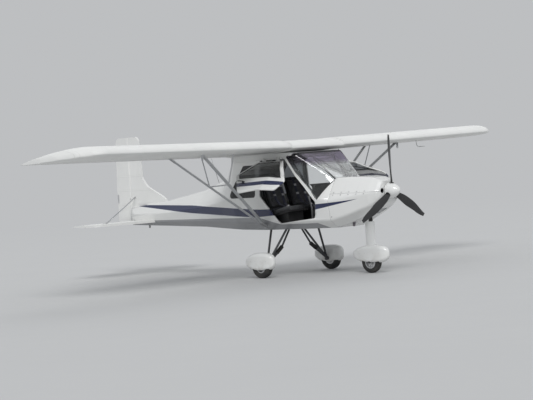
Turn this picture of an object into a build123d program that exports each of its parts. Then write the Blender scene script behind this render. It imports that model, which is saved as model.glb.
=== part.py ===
from build123d import *
import math
import os

# Two-seat three-axis microlight aeroplane: high braced wing, tractor propeller, tricycle gear.
# Millimetres. +X forward, +Y port, +Z up. The origin is on the ground under the middle of the outline.

# Stations along the fuselage
spinner_tip_x = 3100
cowl_front_x = 2885
cowl_shoulder_x = 2560
firewall_x = 2110
screen_top_x = 1560
b_post_x = 740
wing_root_te_x = 160
deck_x = -200
boom_x = -800
neck_x = -1700
tail_post_x = -2715

# Cabin and skins
cabin_half_width = 600
belly_z = 712
roof_z = 1850
screen_base_z = 1462
cabin_wall = 20
skin_wall = 8
glass = 4
tail_post_depth = 30

# Cabin frame
rail_y = 508
rail_z = roof_z - 42
sill_y = 470
frame_tube = 14
frame_weld = 2
screen_tube = 12

# Door and window outlines, as side views
door_top_z = 1790
door_top_x = 1330
pillar_foot_x = 1880
pillar_foot_z = 1120
door_front_low_x = 1840
door_front_low_z = 880
door_rear_low_x = 1150
door_rear_low_z = 820
door_rear_x = 800
door_rear_z = 1250
door_corner = 45
door_gap = 5
soft_gap = 0.3
door_rim = 55
door_waist_z = 1165
pillar_width = 50
screen_foot_z = 1440
rear_window_low_z = 1235
rear_window_high_z = 1725
rear_window_front_x = 700
rear_window_top_x = 420
rear_window_tail_x = 60

# Door hinges and gas struts
hinge_y = 570
hinge_z = 1800
door_open = 65
hinge_pin = 5
hinge_knuckle = 9
hinge_ear = 8
hinge_length = 70
hinge_play = 0.3
strap_low_z = door_top_z - 22
strap_foot = 30
strap_neck = 13
strap_face = 4
door_hinges = (905, 1200)
stay_x = 828
stay_foot_y = 200
stay_foot_z = 1772
stay_reach = 250
stay_inset = 45
cylinder_radius = 10
cylinder_length = 330
rod_radius = 4
rod_length = 300
stay_pin = 3.5
stay_play = 0.3
eye_radius = 9
eye_width = 8

# Wing
wing_le_x = 1560
wing_le_z = 1960
chord = 1400
incidence = 3.5
dihedral = 1.0
centre_half_span = 600
skirt_half_width = 536
square_half_span = 4400
half_span = 4725
trailing_edge = 5
foil_crest = 0.17
foil_shoulder = 0.09
foil_keel = 0.045
foil_hollow = 0.035
foil_upper_reach = 0.35
foil_lower_reach = 0.3
hinge_share = 0.79
hinge_gap = 7
lip_relief = 20
flap_start = 612
flap_end = 2290
aileron_start = 2302
aileron_end = 4300

# Hinges of the flaps, ailerons and tail surfaces
bracket_width = 10
bracket_eye = 12
bracket_half_depth = 9
bracket_pin = 4
bracket_play = 0.3
bracket_side_play = 1
bracket_root = 12

# Lift struts
strut_chord = 74
strut_thickness = 26
strut_foot = (835, 520, 762)
strut_y = 2300
front_spar_share = 0.20
rear_spar_share = 0.70
jury_share = 0.58
jury_radius = 9
eye_bore_radius = 9
eye_outer_radius = 19
eye_plate = 8
tail_eye_x = -2350
tail_eye_z = 805

# Tail
tail_thickness = 46
tail_step = 3
tail_edge = 8
fin_hinge_x = -2760
fin_top_z = 2335
rudder_low_z = 885
rudder_tail_x = -3100
rudder_top_x = -3050
rudder_hinges = (1290, 2160)
elevator_hinges = (330, 960)
tailplane_z = 905
tailplane_half_span = 1225
elevator_hinge_x = -2612
elevator_tail_x = -2985
elevator_root_y = 112
elevator_notch_y = 240
torque_tube_radius = 14
torque_tube_clearance = 8
brace_radius = 9
brace_y = 900
brace_z = 1330

# Wheels
track = 1600
main_axle_x = 960
nose_axle_x = 2470
main_tyre_radius = 180
main_tyre_width = 110
nose_tyre_radius = 165
nose_tyre_width = 100
tyre_roundness = 0.42
rim_radius = 92
rim_width = 92
rim_hole_circle = 62
rim_hole_radius = 12
rim_hole_count = 6
axle_radius = 16
axle_clearance = 0.4
spat_wall = 6
spat_side_clearance = 24
main_spat_clearance = 26
nose_spat_clearance = 86
main_spat_length = 605
nose_spat_length = 700
main_spat_lead = 262
nose_spat_lead = 345
main_spat_low_z = 105
nose_spat_low_z = 145
steer_x = 2500
leg_radius = 26
leg_top_z = 962
fork_arm = 9
fork_clearance = 7
tow_bore_radius = 6
tow_hole_margin = 3
cuff_half_chord = 88
cuff_half_width = 36
cuff_top_z = belly_z + 62
gear_tube = 17

# Engine and propeller
thrust_z = 1225
propeller_x = 2950
propeller_radius = 830
spinner_radius = 118
spinner_back_x = 2903
hub_radius = 52
shaft_radius = 24
running_gap = 0.4
blade_root_radius = 21
blade_count = 3
engine_length = 480
engine_half_width = 205
engine_low_z = 1000
engine_high_z = 1310
engine_front_x = 2690


# Seats: the sheet's upper face in the side view, at its front lip, its corner and the head of its back
seat_lip = Vector(1295, 0, 1012)
seat_corner = Vector(905, 0, 937)
seat_head = Vector(728, 0, 1504)
seat_sheet = 24
seat_y = 262
seat_width = 430
seat_box_width = 340


def side_face(points, radius):
    """Closed outline in the side view, with rounded corners."""
    return make_face(Plane.XZ * FilletPolyline(*points, radius=radius, close=True))


def through(face, reach=900):
    """Prism that carries a side view right through the fuselage."""
    return extrude(face, amount=reach, dir=(0, 1, 0), both=True)


def block(x, y, z):
    """Box between three pairs of limits."""
    size = [high - low for low, high in (x, y, z)]
    middle = [(high + low) / 2 for low, high in (x, y, z)]
    return Pos(*middle) * Box(*size)


def bar(start, end, radius):
    """Round bar between two points."""
    run = Vector(*end) - Vector(*start)
    return extrude(Plane(origin=start, z_dir=run) * Circle(radius), run.length)


def blade_bar(start, end, width, thickness):
    """Streamlined strut: a lens section with its long axis fore and aft."""
    run = Vector(*end) - Vector(*start)
    plane = Plane(origin=start, x_dir=(1, 0, 0), z_dir=run)
    return extrude(plane * Ellipse(width / 2, thickness / 2), run.length)


def port_and_starboard(shape):
    """The shape and its mirror image about the plane of symmetry."""
    return [shape, mirror(shape, about=Plane.XZ)]


def together(shapes):
    """One shape out of several that touch or cross."""
    shapes = list(shapes)
    return shapes[0].fuse(*shapes[1:]) if len(shapes) > 1 else shapes[0]


def body_section(row, inset=0):
    """Cross-section of the fuselage at one station, drawn in by the inset."""
    x, radius, *corners = row
    half = list(zip(corners[0::2], corners[1::2]))
    outline = half + [(-width, height) for width, height in reversed(half)]
    plane = Plane(origin=(x, 0, 0), x_dir=(0, 1, 0), z_dir=(1, 0, 0))
    face = make_face(plane * FilletPolyline(*outline, radius=radius, close=True))
    return offset(face, amount=-inset) if inset else face


def body(rows, inset=0):
    """Straight-sided loft through the sections."""
    return loft([body_section(row, inset) for row in rows], ruled=True)


# Sections: station, corner radius, then half width and height of the bottom, chine, waist and top
firewall_row = (firewall_x, 70, 300, belly_z, 465, 830, 505, 1130, 290, screen_base_z)
b_post_row = (b_post_x, 80, 400, belly_z, 540, 825, cabin_half_width - 5, 1250, 540, roof_z)
cheek_row = (2835, 58, 118, 1000, 246, 1070, 275, 1228, 148, 1400)
shoulder_row = (cowl_shoulder_x, 65, 190, 872, 352, 955, 382, 1190, 208, 1456)
cowl_rows = [
    (cowl_front_x, 45, 95, 1045, 205, 1110, 232, 1235, 125, 1368),
    cheek_row,
    (2730, 62, 150, 943, 300, 1012, 328, 1210, 176, 1434),
    shoulder_row,
    (2340, 70, 243, 783, 410, 885, 448, 1160, 250, 1464),
    firewall_row,
]
cabin_rows = [
    firewall_row,
    (screen_top_x, 80, 400, belly_z, 545, 830, cabin_half_width, 1250, 545, roof_z + 30),
    b_post_row,
]
rear_rows = [
    b_post_row,
    (wing_root_te_x, 70, 350, 725, 470, 850, 540, 1250, 470, roof_z - 5),
    (deck_x, 60, 290, 745, 390, 860, 455, 1180, 290, 1530),
    (boom_x, 50, 210, 785, 290, 880, 340, 1100, 190, 1375),
    (neck_x, 35, 110, 815, 180, 890, 215, 1040, 115, 1240),
    (tail_post_x, 14, 42, 850, 74, 895, 86, 1010, 45, 1145),
]

cowl_body = body(cowl_rows)
cabin_body = body(cabin_rows)
rear_body = body(rear_rows)
cabin_space = body(cabin_rows, cabin_wall)
rear_space = body(rear_rows[:-1] + [(tail_post_x + tail_post_depth, *rear_rows[-1][1:])], skin_wall)
fuselage_body = cabin_body + rear_body


def door_outline():
    """Side view of a door."""
    points = [
        (door_top_x, door_top_z),
        (pillar_foot_x, pillar_foot_z),
        (door_front_low_x, door_front_low_z),
        (door_rear_low_x, door_rear_low_z),
        (door_rear_x, door_rear_z),
        (door_rear_x, door_top_z),
    ]
    return side_face(points, door_corner)


def door_window_outline():
    """Side view of the pane: the door's outline drawn in, cut off at the waist."""
    waist = block((door_rear_x, pillar_foot_x), (-1, 1), (door_waist_z, door_top_z))
    return offset(door_outline(), amount=-door_rim) & waist


def windscreen_outline():
    """Side view of the windscreen, parallel to the door's front edge."""
    run = Vector(pillar_foot_x - door_top_x, 0, pillar_foot_z - door_top_z).normalized()
    step = Vector(-run.Z, 0, run.X) * pillar_width
    top = Vector(door_top_x, 0, door_top_z) + step
    foot = Vector(pillar_foot_x, 0, pillar_foot_z) + step
    high_z = roof_z + 100
    points = [
        (top.X, top.Z),
        (foot.X, foot.Z),
        (firewall_x + 1, screen_foot_z),
        (firewall_x + 1, high_z),
        (screen_top_x - 60, high_z),
    ]
    return make_face(Plane.XZ * Polyline(*points, close=True))


def rear_window_outline():
    """Side view of the rear cabin window."""
    points = [
        (rear_window_front_x, rear_window_low_z),
        (rear_window_front_x, rear_window_high_z),
        (rear_window_top_x, rear_window_high_z),
        (rear_window_tail_x, rear_window_low_z),
    ]
    return side_face(points, door_corner)


def nose_leg_hole():
    """Round hole in the lower cowl that the steering leg turns in."""
    return Pos(steer_x, 0, leg_top_z) * Cylinder(leg_radius + 14, 400)


# Cowling, firewall and engine


def cowl_halves():
    """Upper and lower cowl: one shell parted at the thrust line, with its air openings."""
    inner_rows = [(cowl_front_x - skin_wall, *cowl_rows[0][1:])] + cowl_rows[1:]
    shell = cowl_body - body(inner_rows, skin_wall)
    shaft_hole = Pos(cowl_front_x, 0, thrust_z) * Rot(0, 90, 0) * Cylinder(hub_radius + 22, 80)
    inlets = [
        Pos(cowl_front_x, side * 148, thrust_z + 8) * Rot(0, 90, 0) * Cylinder(38, 80)
        for side in (-1, 1)
    ]
    scoop = block((cowl_shoulder_x + 30, cowl_shoulder_x + 215), (-88, 88), (840, 1040))
    exhaust_hole = Pos(cowl_shoulder_x - 250, -150, 800) * Cylinder(36, 200)
    shell = shell - together([shaft_hole, *inlets, scoop, nose_leg_hole(), exhaust_hole])
    upper_zone = block((firewall_x - 50, cowl_front_x + 50), (-700, 700), (thrust_z, 1700))
    return shell & upper_zone, shell - upper_zone


def firewall_plate():
    """Bulkhead between the engine bay and the cabin."""
    return cabin_space & block((firewall_x - 6, firewall_x), (-700, 700), (belly_z, 1700))


def engine_block():
    """Engine as one plain mass, with its gearbox nose and shaft bore."""
    rear_x = engine_front_x - engine_length
    sides = (-engine_half_width, engine_half_width)
    core = block((rear_x, engine_front_x), sides, (engine_low_z, engine_high_z))
    core = fillet(core.edges().filter_by(Axis.X), 30)
    nose_length = cowl_front_x + 8 - engine_front_x
    nose = Pos(engine_front_x + nose_length / 2 - 10, 0, thrust_z) * Rot(0, 90, 0)
    core = core + nose * Cylinder(hub_radius + 8, nose_length + 20)
    bore = Pos(cowl_front_x - 40, 0, thrust_z) * Rot(0, 90, 0) * Cylinder(shaft_radius + running_gap, 120)
    return core - bore


def engine_mount():
    """Tubes from the firewall to the engine and to the steering bearing."""
    rear_x = engine_front_x - engine_length
    bearing_z = leg_top_z - 60
    tubes = []
    for side in (-1, 1):
        for height in (engine_low_z + 40, engine_high_z - 40):
            tubes.append(bar((firewall_x, side * 170, height), (rear_x, side * 170, height), 13))
        for height in (engine_low_z - 35, belly_z + 95):
            tubes.append(bar((firewall_x - 20, side * 170, height), (steer_x, 0, bearing_z), 12))
    bearing = Pos(steer_x, 0, bearing_z) * Cylinder(leg_radius + 13, 70)
    bore = Pos(steer_x, 0, bearing_z) * Cylinder(leg_radius + axle_clearance, 90)
    behind = block((firewall_x - 60, firewall_x), (-300, 300), (belly_z, screen_base_z))
    return together([bearing, *tubes]) - bore - behind


def radiator():
    """Cooler behind the scoop in the lower cowl, parallel to the cowl's slope."""
    slope = (cheek_row[3] - shoulder_row[3]) / (cheek_row[0] - shoulder_row[0])
    x = cowl_shoulder_x + 122
    z = shoulder_row[3] + (x - cowl_shoulder_x) * slope + 22
    return Pos(x, 0, z) * Rot(0, -math.degrees(math.atan(slope)), 0) * Box(236, 168, 32)


def exhaust_pipe():
    """Tail pipe out of the lower cowl."""
    x = cowl_shoulder_x - 250
    pipe = bar((x + 30, -150, 960), (x - 18, -150, 720), 21)
    bore = bar((x + 30, -150, 964), (x - 20, -150, 710), 19)
    elbow = bar((x + 30, -150, engine_low_z), (x + 30, -150, 955), 21)
    return (pipe + elbow) - bore


# Cabin


def cabin_parts():
    """Cabin shell and windscreen."""
    wall = cabin_body - cabin_space
    doorway = through(offset(door_outline(), amount=door_gap))
    screen = through(windscreen_outline())
    ears = together(ear for x in door_hinges for ear in port_and_starboard(hinge_ears(x)))
    shell = (wall + ears) - doorway - screen
    pane = (cabin_body - body(cabin_rows, glass)) & screen
    return shell, pane


def cabin_frame():
    """Welded tube frame inside the cabin shell, with the lugs of the gas struts' feet."""
    rear_x, front_x = b_post_x + 22, door_top_x + 75
    sill_x, sill_z = pillar_foot_x + 12, pillar_foot_z + 15
    tubes = [
        Pos(front_x, 0, rail_z) * Sphere(frame_tube + frame_weld),
        bar((front_x, -rail_y, rail_z), (front_x, rail_y, rail_z), frame_tube),
        bar((rear_x, -rail_y, rail_z), (rear_x, rail_y, rail_z), frame_tube),
        bar((sill_x, -sill_y, sill_z), (sill_x, sill_y, sill_z), frame_tube),
    ]
    # Runs of port tube from corner to corner: x, y and z
    rear_post = [(rear_x, rail_y, rail_z), (rear_x, 548, 1240), (rear_x, 490, 845), (rear_x, 370, 745)]
    front_post = [(front_x, rail_y, rail_z), (sill_x, sill_y, sill_z), (sill_x, 440, 850), (sill_x, 330, 750)]
    roof_rail = [(rear_x, rail_y, rail_z), (front_x, rail_y, rail_z)]
    for side in (-1, 1):
        for run in (rear_post, front_post, roof_rail):
            run = [(x, side * y, z) for x, y, z in run]
            tubes += [bar(low, high, frame_tube) for low, high in zip(run[:-1], run[1:])]
            tubes += [Pos(*corner) * Sphere(frame_tube + frame_weld) for corner in run[:-1]]
        tubes.append(bar((front_x, 0, rail_z), (firewall_x, side * 230, 1400), screen_tube))
        foot_y = side * stay_foot_y
        plate_x = stay_x - cylinder_radius - 3
        pin_start, pin_end = (plate_x - 5, foot_y, stay_foot_z), (stay_x + eye_width, foot_y, stay_foot_z)
        tubes.append(block((rear_x, plate_x), (foot_y - 6, foot_y + 6), (stay_foot_z - 9, rail_z)))
        tubes.append(bar(pin_start, pin_end, stay_pin))
    return (together(tubes) & cabin_space) - firewall_plate()


def rear_parts():
    """Rear fuselage shell and its side windows."""
    window = through(rear_window_outline())
    shell = rear_body - rear_space - window
    pane = (rear_body - body(rear_rows[:3], glass)) & window
    return shell, pane


def instrument_panel(frame):
    """Panel with a hooded top, held between the frame's two front tubes."""
    points = [(1760, 1170), (1790, 1345), (1740, 1392), (1880, 1392), (1835, 1345), (1800, 1170)]
    profile = make_face(Plane.XZ * Polyline(*points, close=True))
    return through(profile, 470) - frame


def seats():
    """Two bucket seats on boxes that stand on the cabin floor."""
    pan, back = (seat_lip - seat_corner).normalized(), (seat_head - seat_corner).normalized()
    down, rear = Vector(pan.Z, 0, -pan.X) * seat_sheet, Vector(-back.Z, 0, back.X) * seat_sheet
    low_corner = seat_corner + down + rear
    sheet = [seat_lip, seat_corner, seat_head, seat_head + rear, low_corner, seat_lip + down]
    corners = [
        seat_lip + pan * 100 + down / 2,
        low_corner - pan * 100,
        low_corner + back * 400,
        seat_lip + back * 400,
    ]
    over_sheet = through(make_face(Plane.XZ * Polyline([(p.X, p.Z) for p in corners], close=True)))
    profile = side_face([(p.X, p.Z) for p in sheet], 4)
    shells = []
    for side in (-1, 1):
        shell = Pos(0, side * seat_y, 0) * through(profile, seat_width / 2)
        box = Pos(1080, side * seat_y, 850) * Box(300, seat_box_width, 300)
        shells.append(shell + ((box - over_sheet) & cabin_space))
    return Compound(children=shells)


def cushion(start, end, near, length, thickness):
    """Cushion on a straight stretch of the seat sheet, from a distance along it."""
    run = (end - start).normalized()
    up = Vector(-run.Z, 0, run.X) if run.X > 0 else Vector(run.Z, 0, -run.X)
    middle = start + run * (near + length / 2) + up * (thickness / 2 + soft_gap)
    pad = Plane(origin=middle, x_dir=run, z_dir=up) * Box(length, seat_width - 36, thickness)
    return fillet(pad.edges(), thickness * 0.35)


def seat_cushions():
    """Soft seat and back cushions."""
    lower = cushion(seat_corner, seat_lip, 32, 340, 70)
    upper = cushion(seat_corner, seat_head, 118, 430, 62)
    return Compound(children=[Pos(0, side * seat_y, 0) * pad for side in (-1, 1) for pad in (lower, upper)])


def flight_controls():
    """Central stick, throttle lever and the pedals' tubes."""
    stick = [(1330, 0, 700), (1335, 0, 1010), (1290, 0, 1190)]
    pieces = [bar(low, high, 12) for low, high in zip(stick[:-1], stick[1:])]
    pieces.append(Pos(*stick[1]) * Sphere(12))
    pieces.append(bar(stick[-1], (1270, 0, 1275), 18))
    throttle = bar((1440, 0, 700), (1425, 0, 960), 8) + Pos(1424, 0, 975) * Sphere(20)
    pedals = [throttle, together(pieces)]
    for side in (-1, 1):
        for y in (side * 170, side * 300):
            arm = bar((1985, y, 700), (1945, y, 930), 9)
            pedals.append(arm + bar((1945, y - 45, 930), (1945, y + 45, 930), 11))
    return Compound(children=[piece & cabin_space for piece in pedals])


def fuel_tank():
    """Moulded tank behind the seats."""
    length, width, low_z, high_z = 300, 660, 700, 1130
    wall, corner, sump = 8, 45, 45
    tank = block((340, 340 + length), (-width / 2, width / 2), (low_z, high_z))
    tank = fillet(tank.edges().filter_by(Axis.Z) + tank.edges().group_by(Axis.Z)[-1], corner)
    middle_x, middle_z = 340 + length / 2, (low_z + sump + high_z - wall) / 2
    hollow = Box(length - 2 * wall, width - 2 * wall, high_z - wall - low_z - sump)
    hollow = Pos(middle_x, 0, middle_z) * fillet(hollow.edges(), corner - wall).solid()
    return (tank & rear_space) - hollow


# Doors


def on_hinge_line(radius, start, end):
    """Round bar on the port door's hinge line."""
    return bar((start, hinge_y, hinge_z), (end, hinge_y, hinge_z), radius)


def hinge_ears(x):
    """Cabin side of one door hinge: two ears and the pin between them."""
    pieces = [on_hinge_line(hinge_pin, x, x + hinge_length)]
    for start in (x, x + hinge_length - hinge_ear):
        leaf = block((start, start + hinge_ear), (hinge_y - 32, hinge_y + 2), (hinge_z + 1, hinge_z + 26))
        pieces.append(on_hinge_line(hinge_knuckle, start, start + hinge_ear) + leaf)
    return together(pieces)


def hinge_strap(x):
    """Door side of one hinge: a knuckle on the pin, with a strap down to the door's skin."""
    start, end = x + hinge_ear + 1, x + hinge_length - hinge_ear - 1
    foot = block((start, end), (hinge_y - strap_foot, hinge_y + strap_face), (strap_low_z, door_top_z - 2))
    neck = block((start, end), (hinge_y - strap_neck, hinge_y + strap_face), (strap_low_z, hinge_z - 4))
    bore = on_hinge_line(hinge_pin + hinge_play, x, x + hinge_length)
    return on_hinge_line(hinge_knuckle, start, end) + foot + neck - bore


def door_parts():
    """Port door as it stands open: its frame with straps and lug, and its pane."""
    half = block((0, 3000), (0, 900), (0, 2500))
    window = through(door_window_outline())
    frame = ((cabin_body - cabin_space) & half & through(door_outline())) - window
    lug_x, lug_z = stay_x + eye_width / 2 + 1, hinge_z - stay_reach
    lug_y = (hinge_y - stay_inset - eye_radius, cabin_half_width)
    lug = block((lug_x, lug_x + 5), lug_y, (lug_z - 11, lug_z + 11))
    frame = together([frame, lug & cabin_body, *[hinge_strap(x) for x in door_hinges]])
    pane = (cabin_body - body(cabin_rows, glass)) & half & window
    hinge_line = Axis((0, hinge_y, hinge_z), (1, 0, 0))
    return frame.rotate(hinge_line, door_open), pane.rotate(hinge_line, door_open)


def gas_strut(side):
    """Gas strut as the open door draws it out: cylinder on the roof frame, rod to the door's lug."""
    lug = Vector(0, -stay_inset, -stay_reach).rotate(Axis.X, door_open) + Vector(stay_x, hinge_y, hinge_z)
    foot = Vector(stay_x, side * stay_foot_y, stay_foot_z)
    lug = Vector(lug.X, side * lug.Y, lug.Z)
    length = (lug - foot).length
    level = Plane(origin=foot, x_dir=(1, 0, 0), z_dir=lug - foot)
    eye = Rot(0, 90, 0) * (Cylinder(eye_radius, eye_width) - Cylinder(stay_pin + stay_play, eye_width + 2))
    tube = Pos(0, 0, cylinder_length / 2 + eye_radius - 1) * Cylinder(cylinder_radius, cylinder_length)
    bore_length = cylinder_length - 20
    bore = Cylinder(rod_radius + stay_play, bore_length + 2)
    bore = Pos(0, 0, cylinder_length + eye_radius - bore_length / 2) * bore
    pin_hole = Rot(0, 90, 0) * Cylinder(stay_pin + stay_play, 60)
    cylinder = (tube + eye) - bore - pin_hole
    rod = Pos(0, 0, length - rod_length / 2) * Cylinder(rod_radius, rod_length)
    rod_eye = Pos(0, 0, length) * Rot(0, 90, 0)
    rod = rod + rod_eye * Cylinder(eye_radius, eye_width)
    rod = rod - rod_eye * Cylinder(stay_pin + stay_play, 3 * eye_width)
    return level * cylinder, level * rod


def flat_airfoil(size):
    """Wing section in its own plane: nose at the origin, tail at minus the size."""
    high_tail, low_tail = (-size, trailing_edge / 2), (-size, -trailing_edge / 2)
    over_nose, over_tail = (0, foil_shoulder * size), (-foil_upper_reach * size, foil_crest * size)
    under_nose, under_tail = (0, -foil_keel * size), (-foil_lower_reach * size, -foil_hollow * size)
    upper = Bezier((0, 0), over_nose, over_tail, high_tail)
    lower = Bezier(low_tail, under_tail, under_nose, (0, 0))
    return make_face([upper, Line(high_tail, low_tail), lower])


def curve_height(share, reach, near_nose, near_tail):
    """Height of one face of the wing section at a share of the chord, as a share of the chord."""
    low, high = 0.0, 1.0
    while high - low > 1e-6:
        t = (low + high) / 2
        along = 3 * (1 - t) * t * t * reach + t**3
        low, high = (t, high) if along < share else (low, t)
    return 3 * (1 - t) ** 2 * t * near_nose + 3 * (1 - t) * t * t * near_tail


def section_heights(share):
    """Upper and lower height of the wing section at a share of the chord."""
    upper = curve_height(share, foil_upper_reach, foil_shoulder, foil_crest)
    lower = curve_height(share, foil_lower_reach, -foil_keel, -foil_hollow)
    return upper * chord, lower * chord


# Wing: built level with its nose on the Y axis, then set at its incidence and dihedral

hinge_x = -hinge_share * chord
hinge_high, hinge_low = section_heights(hinge_share)
flap_hinge_z = (hinge_high + hinge_low) / 2
flap_nose_radius = (hinge_high - hinge_low) / 2


def section_at(y, size, nose_x):
    """Wing section at one span station."""
    face = flat_airfoil(size)
    plane = Plane(origin=(nose_x, y, 0), x_dir=(1, 0, 0), z_dir=(0, -1, 0))
    return plane * face


def level_wing(start, end):
    """Straight stretch of wing between two span stations."""
    return extrude(section_at(start, chord, 0), amount=end - start, dir=(0, 1, 0))


def along_span(radius, start, end, x, z):
    """Round bar along the span."""
    return Pos(x, (start + end) / 2, z) * Rot(90, 0, 0) * Cylinder(radius, end - start)


def hinge_places(start, end):
    """Two hinge stations, a fifth of the span in from each end."""
    step = (end - start) / 5
    return [start + step, end - step]


def with_hinge_notches(surface, nose_radius, places):
    """Moving surface, its hinge on the Y axis, with slots for the brackets and a pin across each."""
    half = bracket_width / 2 + bracket_side_play
    slots = [along_span(nose_radius + 3, y - half, y + half, 0, 0) for y in places]
    pins = [along_span(bracket_pin, y - half - 2, y + half + 2, 0, 0) for y in places]
    return together([surface - together(slots), *pins])


def hinge_brackets(reach, places):
    """Brackets that stand out of a fixed surface, forward of the hinge, and end in an eye on its pin."""
    brackets = []
    for y in places:
        near, far = y - bracket_width / 2, y + bracket_width / 2
        arm = block((0, reach), (near, far), (-bracket_half_depth, bracket_half_depth))
        eye = along_span(bracket_eye, near, far, 0, 0) + arm
        brackets.append(eye - along_span(bracket_pin + bracket_play, near - 1, far + 1, 0, 0))
    return brackets


def trailing_surface(start, end):
    """Flap or aileron: the tail of the section with a round nose on its hinge."""
    tail = level_wing(start, end) & block((-chord - 50, hinge_x), (start, end), (-200, 200))
    surface = tail + along_span(flap_nose_radius, start, end, hinge_x, flap_hinge_z)
    on_hinge = Pos(hinge_x, 0, flap_hinge_z)
    places = hinge_places(start, end)
    return on_hinge * with_hinge_notches(on_hinge.inverse() * surface, flap_nose_radius, places)


def set_wing(shape):
    """Port wing's place: nose height, incidence and dihedral."""
    return Pos(wing_le_x, 0, wing_le_z) * Rot(dihedral, 0, 0) * Rot(0, -incidence, 0) * shape


def wing_panel():
    """Port wing outboard of the cabin, with the bay of its flap and aileron."""
    # tip sections: span share of the tip, then how far the nose and the tail draw in, as shares of the chord
    tip_rows = [(0.0, 0.0), (0.35, 0.05), (0.7, 0.22), (0.92, 0.46), (1.0, 0.66)]
    tip_length = half_span - square_half_span
    sections = [
        section_at(square_half_span + share * tip_length, chord * (1 - sweep), -chord * sweep)
        for share, sweep in tip_rows
    ]
    panel = level_wing(centre_half_span - 20, square_half_span) + loft(sections, ruled=True)
    start, end = flap_start - hinge_gap, aileron_end + hinge_gap
    bay = block((-chord - 60, hinge_x), (start, end), (-200, 200))
    lip = block((hinge_x - 10, hinge_x + lip_relief), (start, end), (-200, flap_hinge_z))
    cove = along_span(flap_nose_radius + hinge_gap, start, end, hinge_x, flap_hinge_z)
    places = hinge_places(flap_start, flap_end) + hinge_places(aileron_start, aileron_end)
    brackets = hinge_brackets(flap_nose_radius + hinge_gap + bracket_root, places)
    brackets = [Pos(hinge_x, 0, flap_hinge_z) * bracket for bracket in brackets]
    panel = together([panel - bay - lip - cove, *brackets])
    return set_wing(panel) - block((-500, 2500), (-centre_half_span, centre_half_span), (1000, 3000))


def wing_centre():
    """Centre section over the cabin, with a fairing down to the roof."""
    level = Pos(wing_le_x, 0, wing_le_z) * Rot(0, -incidence, 0)
    foil = level * level_wing(-centre_half_span, centre_half_span)
    sides = (-skirt_half_width, skirt_half_width)
    skirt = block((wing_root_te_x + 25, wing_le_x - 95), sides, (roof_z - 60, wing_le_z - 70))
    return (foil + skirt) - fuselage_body


def wing_point(share, y, height):
    """Point of the port wing at a share of the chord, at a height in the section's own plane."""
    a, d = math.radians(incidence), math.radians(dihedral)
    x, z = -share * chord, height
    x, z = x * math.cos(a) - z * math.sin(a), x * math.sin(a) + z * math.cos(a)
    return (wing_le_x + x, y * math.cos(d) - z * math.sin(d), wing_le_z + y * math.sin(d) + z * math.cos(d))


def tie_down_eye(x, y, z, height):
    """Flat lug with a bore across it, rounded below and reaching up from the bore's centre."""
    turn = Pos(x, y, z) * Rot(90, 0, 0)
    plate = turn * Cylinder(eye_outer_radius, eye_plate) + block(
        (x - eye_outer_radius, x + eye_outer_radius), (y - eye_plate / 2, y + eye_plate / 2), (z, z + height)
    )
    return plate - turn * Cylinder(eye_bore_radius, eye_plate + 2)


def lift_struts(panel):
    """Port V of two lift struts with jury struts, trimmed to the wing and the fuselage."""
    front = wing_point(front_spar_share, strut_y, 0)
    rear = wing_point(rear_spar_share, strut_y, 10)
    pieces = [
        blade_bar(strut_foot, front, strut_chord, strut_thickness),
        blade_bar(strut_foot, rear, strut_chord * 0.8, strut_thickness * 0.9),
    ]
    knees = []
    for share, top in ((front_spar_share, front), (rear_spar_share, rear)):
        knee = Vector(*strut_foot) + (Vector(*top) - Vector(*strut_foot)) * jury_share
        knees.append(knee)
        pieces.append(bar(knee, Vector(*wing_point(share, knee.Y + 30, 0)), jury_radius))
    pieces.append(bar(knees[0], knees[1], jury_radius))
    eye_x, eye_y, eye_z = front
    pieces.append(tie_down_eye(eye_x, eye_y - 45, eye_z - 118, 130))
    return together(pieces) - panel - fuselage_body


# Tail


def fin():
    """Fin with its dorsal fillet, seated on the tail boom."""
    rear_x = fin_hinge_x + tail_thickness / 2 + hinge_gap
    points = [
        (rear_x, 1000),
        (-1900, 1000),
        (-1900, 1262),
        (-2010, 1330),
        (-2330, 1490),
        (-2450, 1640),
        (-2490, fin_top_z),
        (rear_x, fin_top_z),
    ]
    outline = Plane.XZ * FilletPolyline(*points, radius=(0, 0, 0, 60, 160, 120, 90, 0), close=True)
    plate = through(make_face(outline), tail_thickness / 2 - tail_step) - fuselage_body
    stand = Pos(fin_hinge_x, 0, 0) * Rot(90, 0, 0)
    return together([plate, *[stand * bracket for bracket in tail_brackets(rudder_hinges)]])


def tail_brackets(places):
    """Hinge brackets of a tail surface, its hinge on the Y axis."""
    return hinge_brackets(tail_thickness / 2 + hinge_gap + bracket_root, places)


def tapered_tail(length, start, end):
    """Level control surface, nose on the Y axis: a round nose drawn down to a thin tail."""
    radius = tail_thickness / 2
    points = [(0, radius), (0, -radius), (-length, -tail_edge / 2), (-length, tail_edge / 2)]
    wedge = make_face(Plane.XZ * Polyline(*points, close=True))
    wedge = Pos(0, start, 0) * extrude(wedge, amount=end - start, dir=(0, 1, 0))
    return wedge + along_span(radius, start, end, 0, 0)


def rudder():
    """Rudder behind the fin, down to the sternpost's foot."""
    length = fin_hinge_x - rudder_tail_x
    level = tapered_tail(length, rudder_low_z, fin_top_z)
    level = with_hinge_notches(level, tail_thickness / 2, rudder_hinges)
    blade = Pos(fin_hinge_x, 0, 0) * Rot(90, 0, 0) * level
    front_x = fin_hinge_x + tail_thickness
    points = [
        (front_x, fin_top_z),
        (rudder_top_x, fin_top_z),
        (rudder_tail_x, 1500),
        (rudder_tail_x, rudder_low_z),
        (front_x, rudder_low_z),
    ]
    outline = Plane.XZ * FilletPolyline(*points, radius=(0, 100, 300, 70, 0), close=True)
    return blade & through(make_face(outline), 300)


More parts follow.
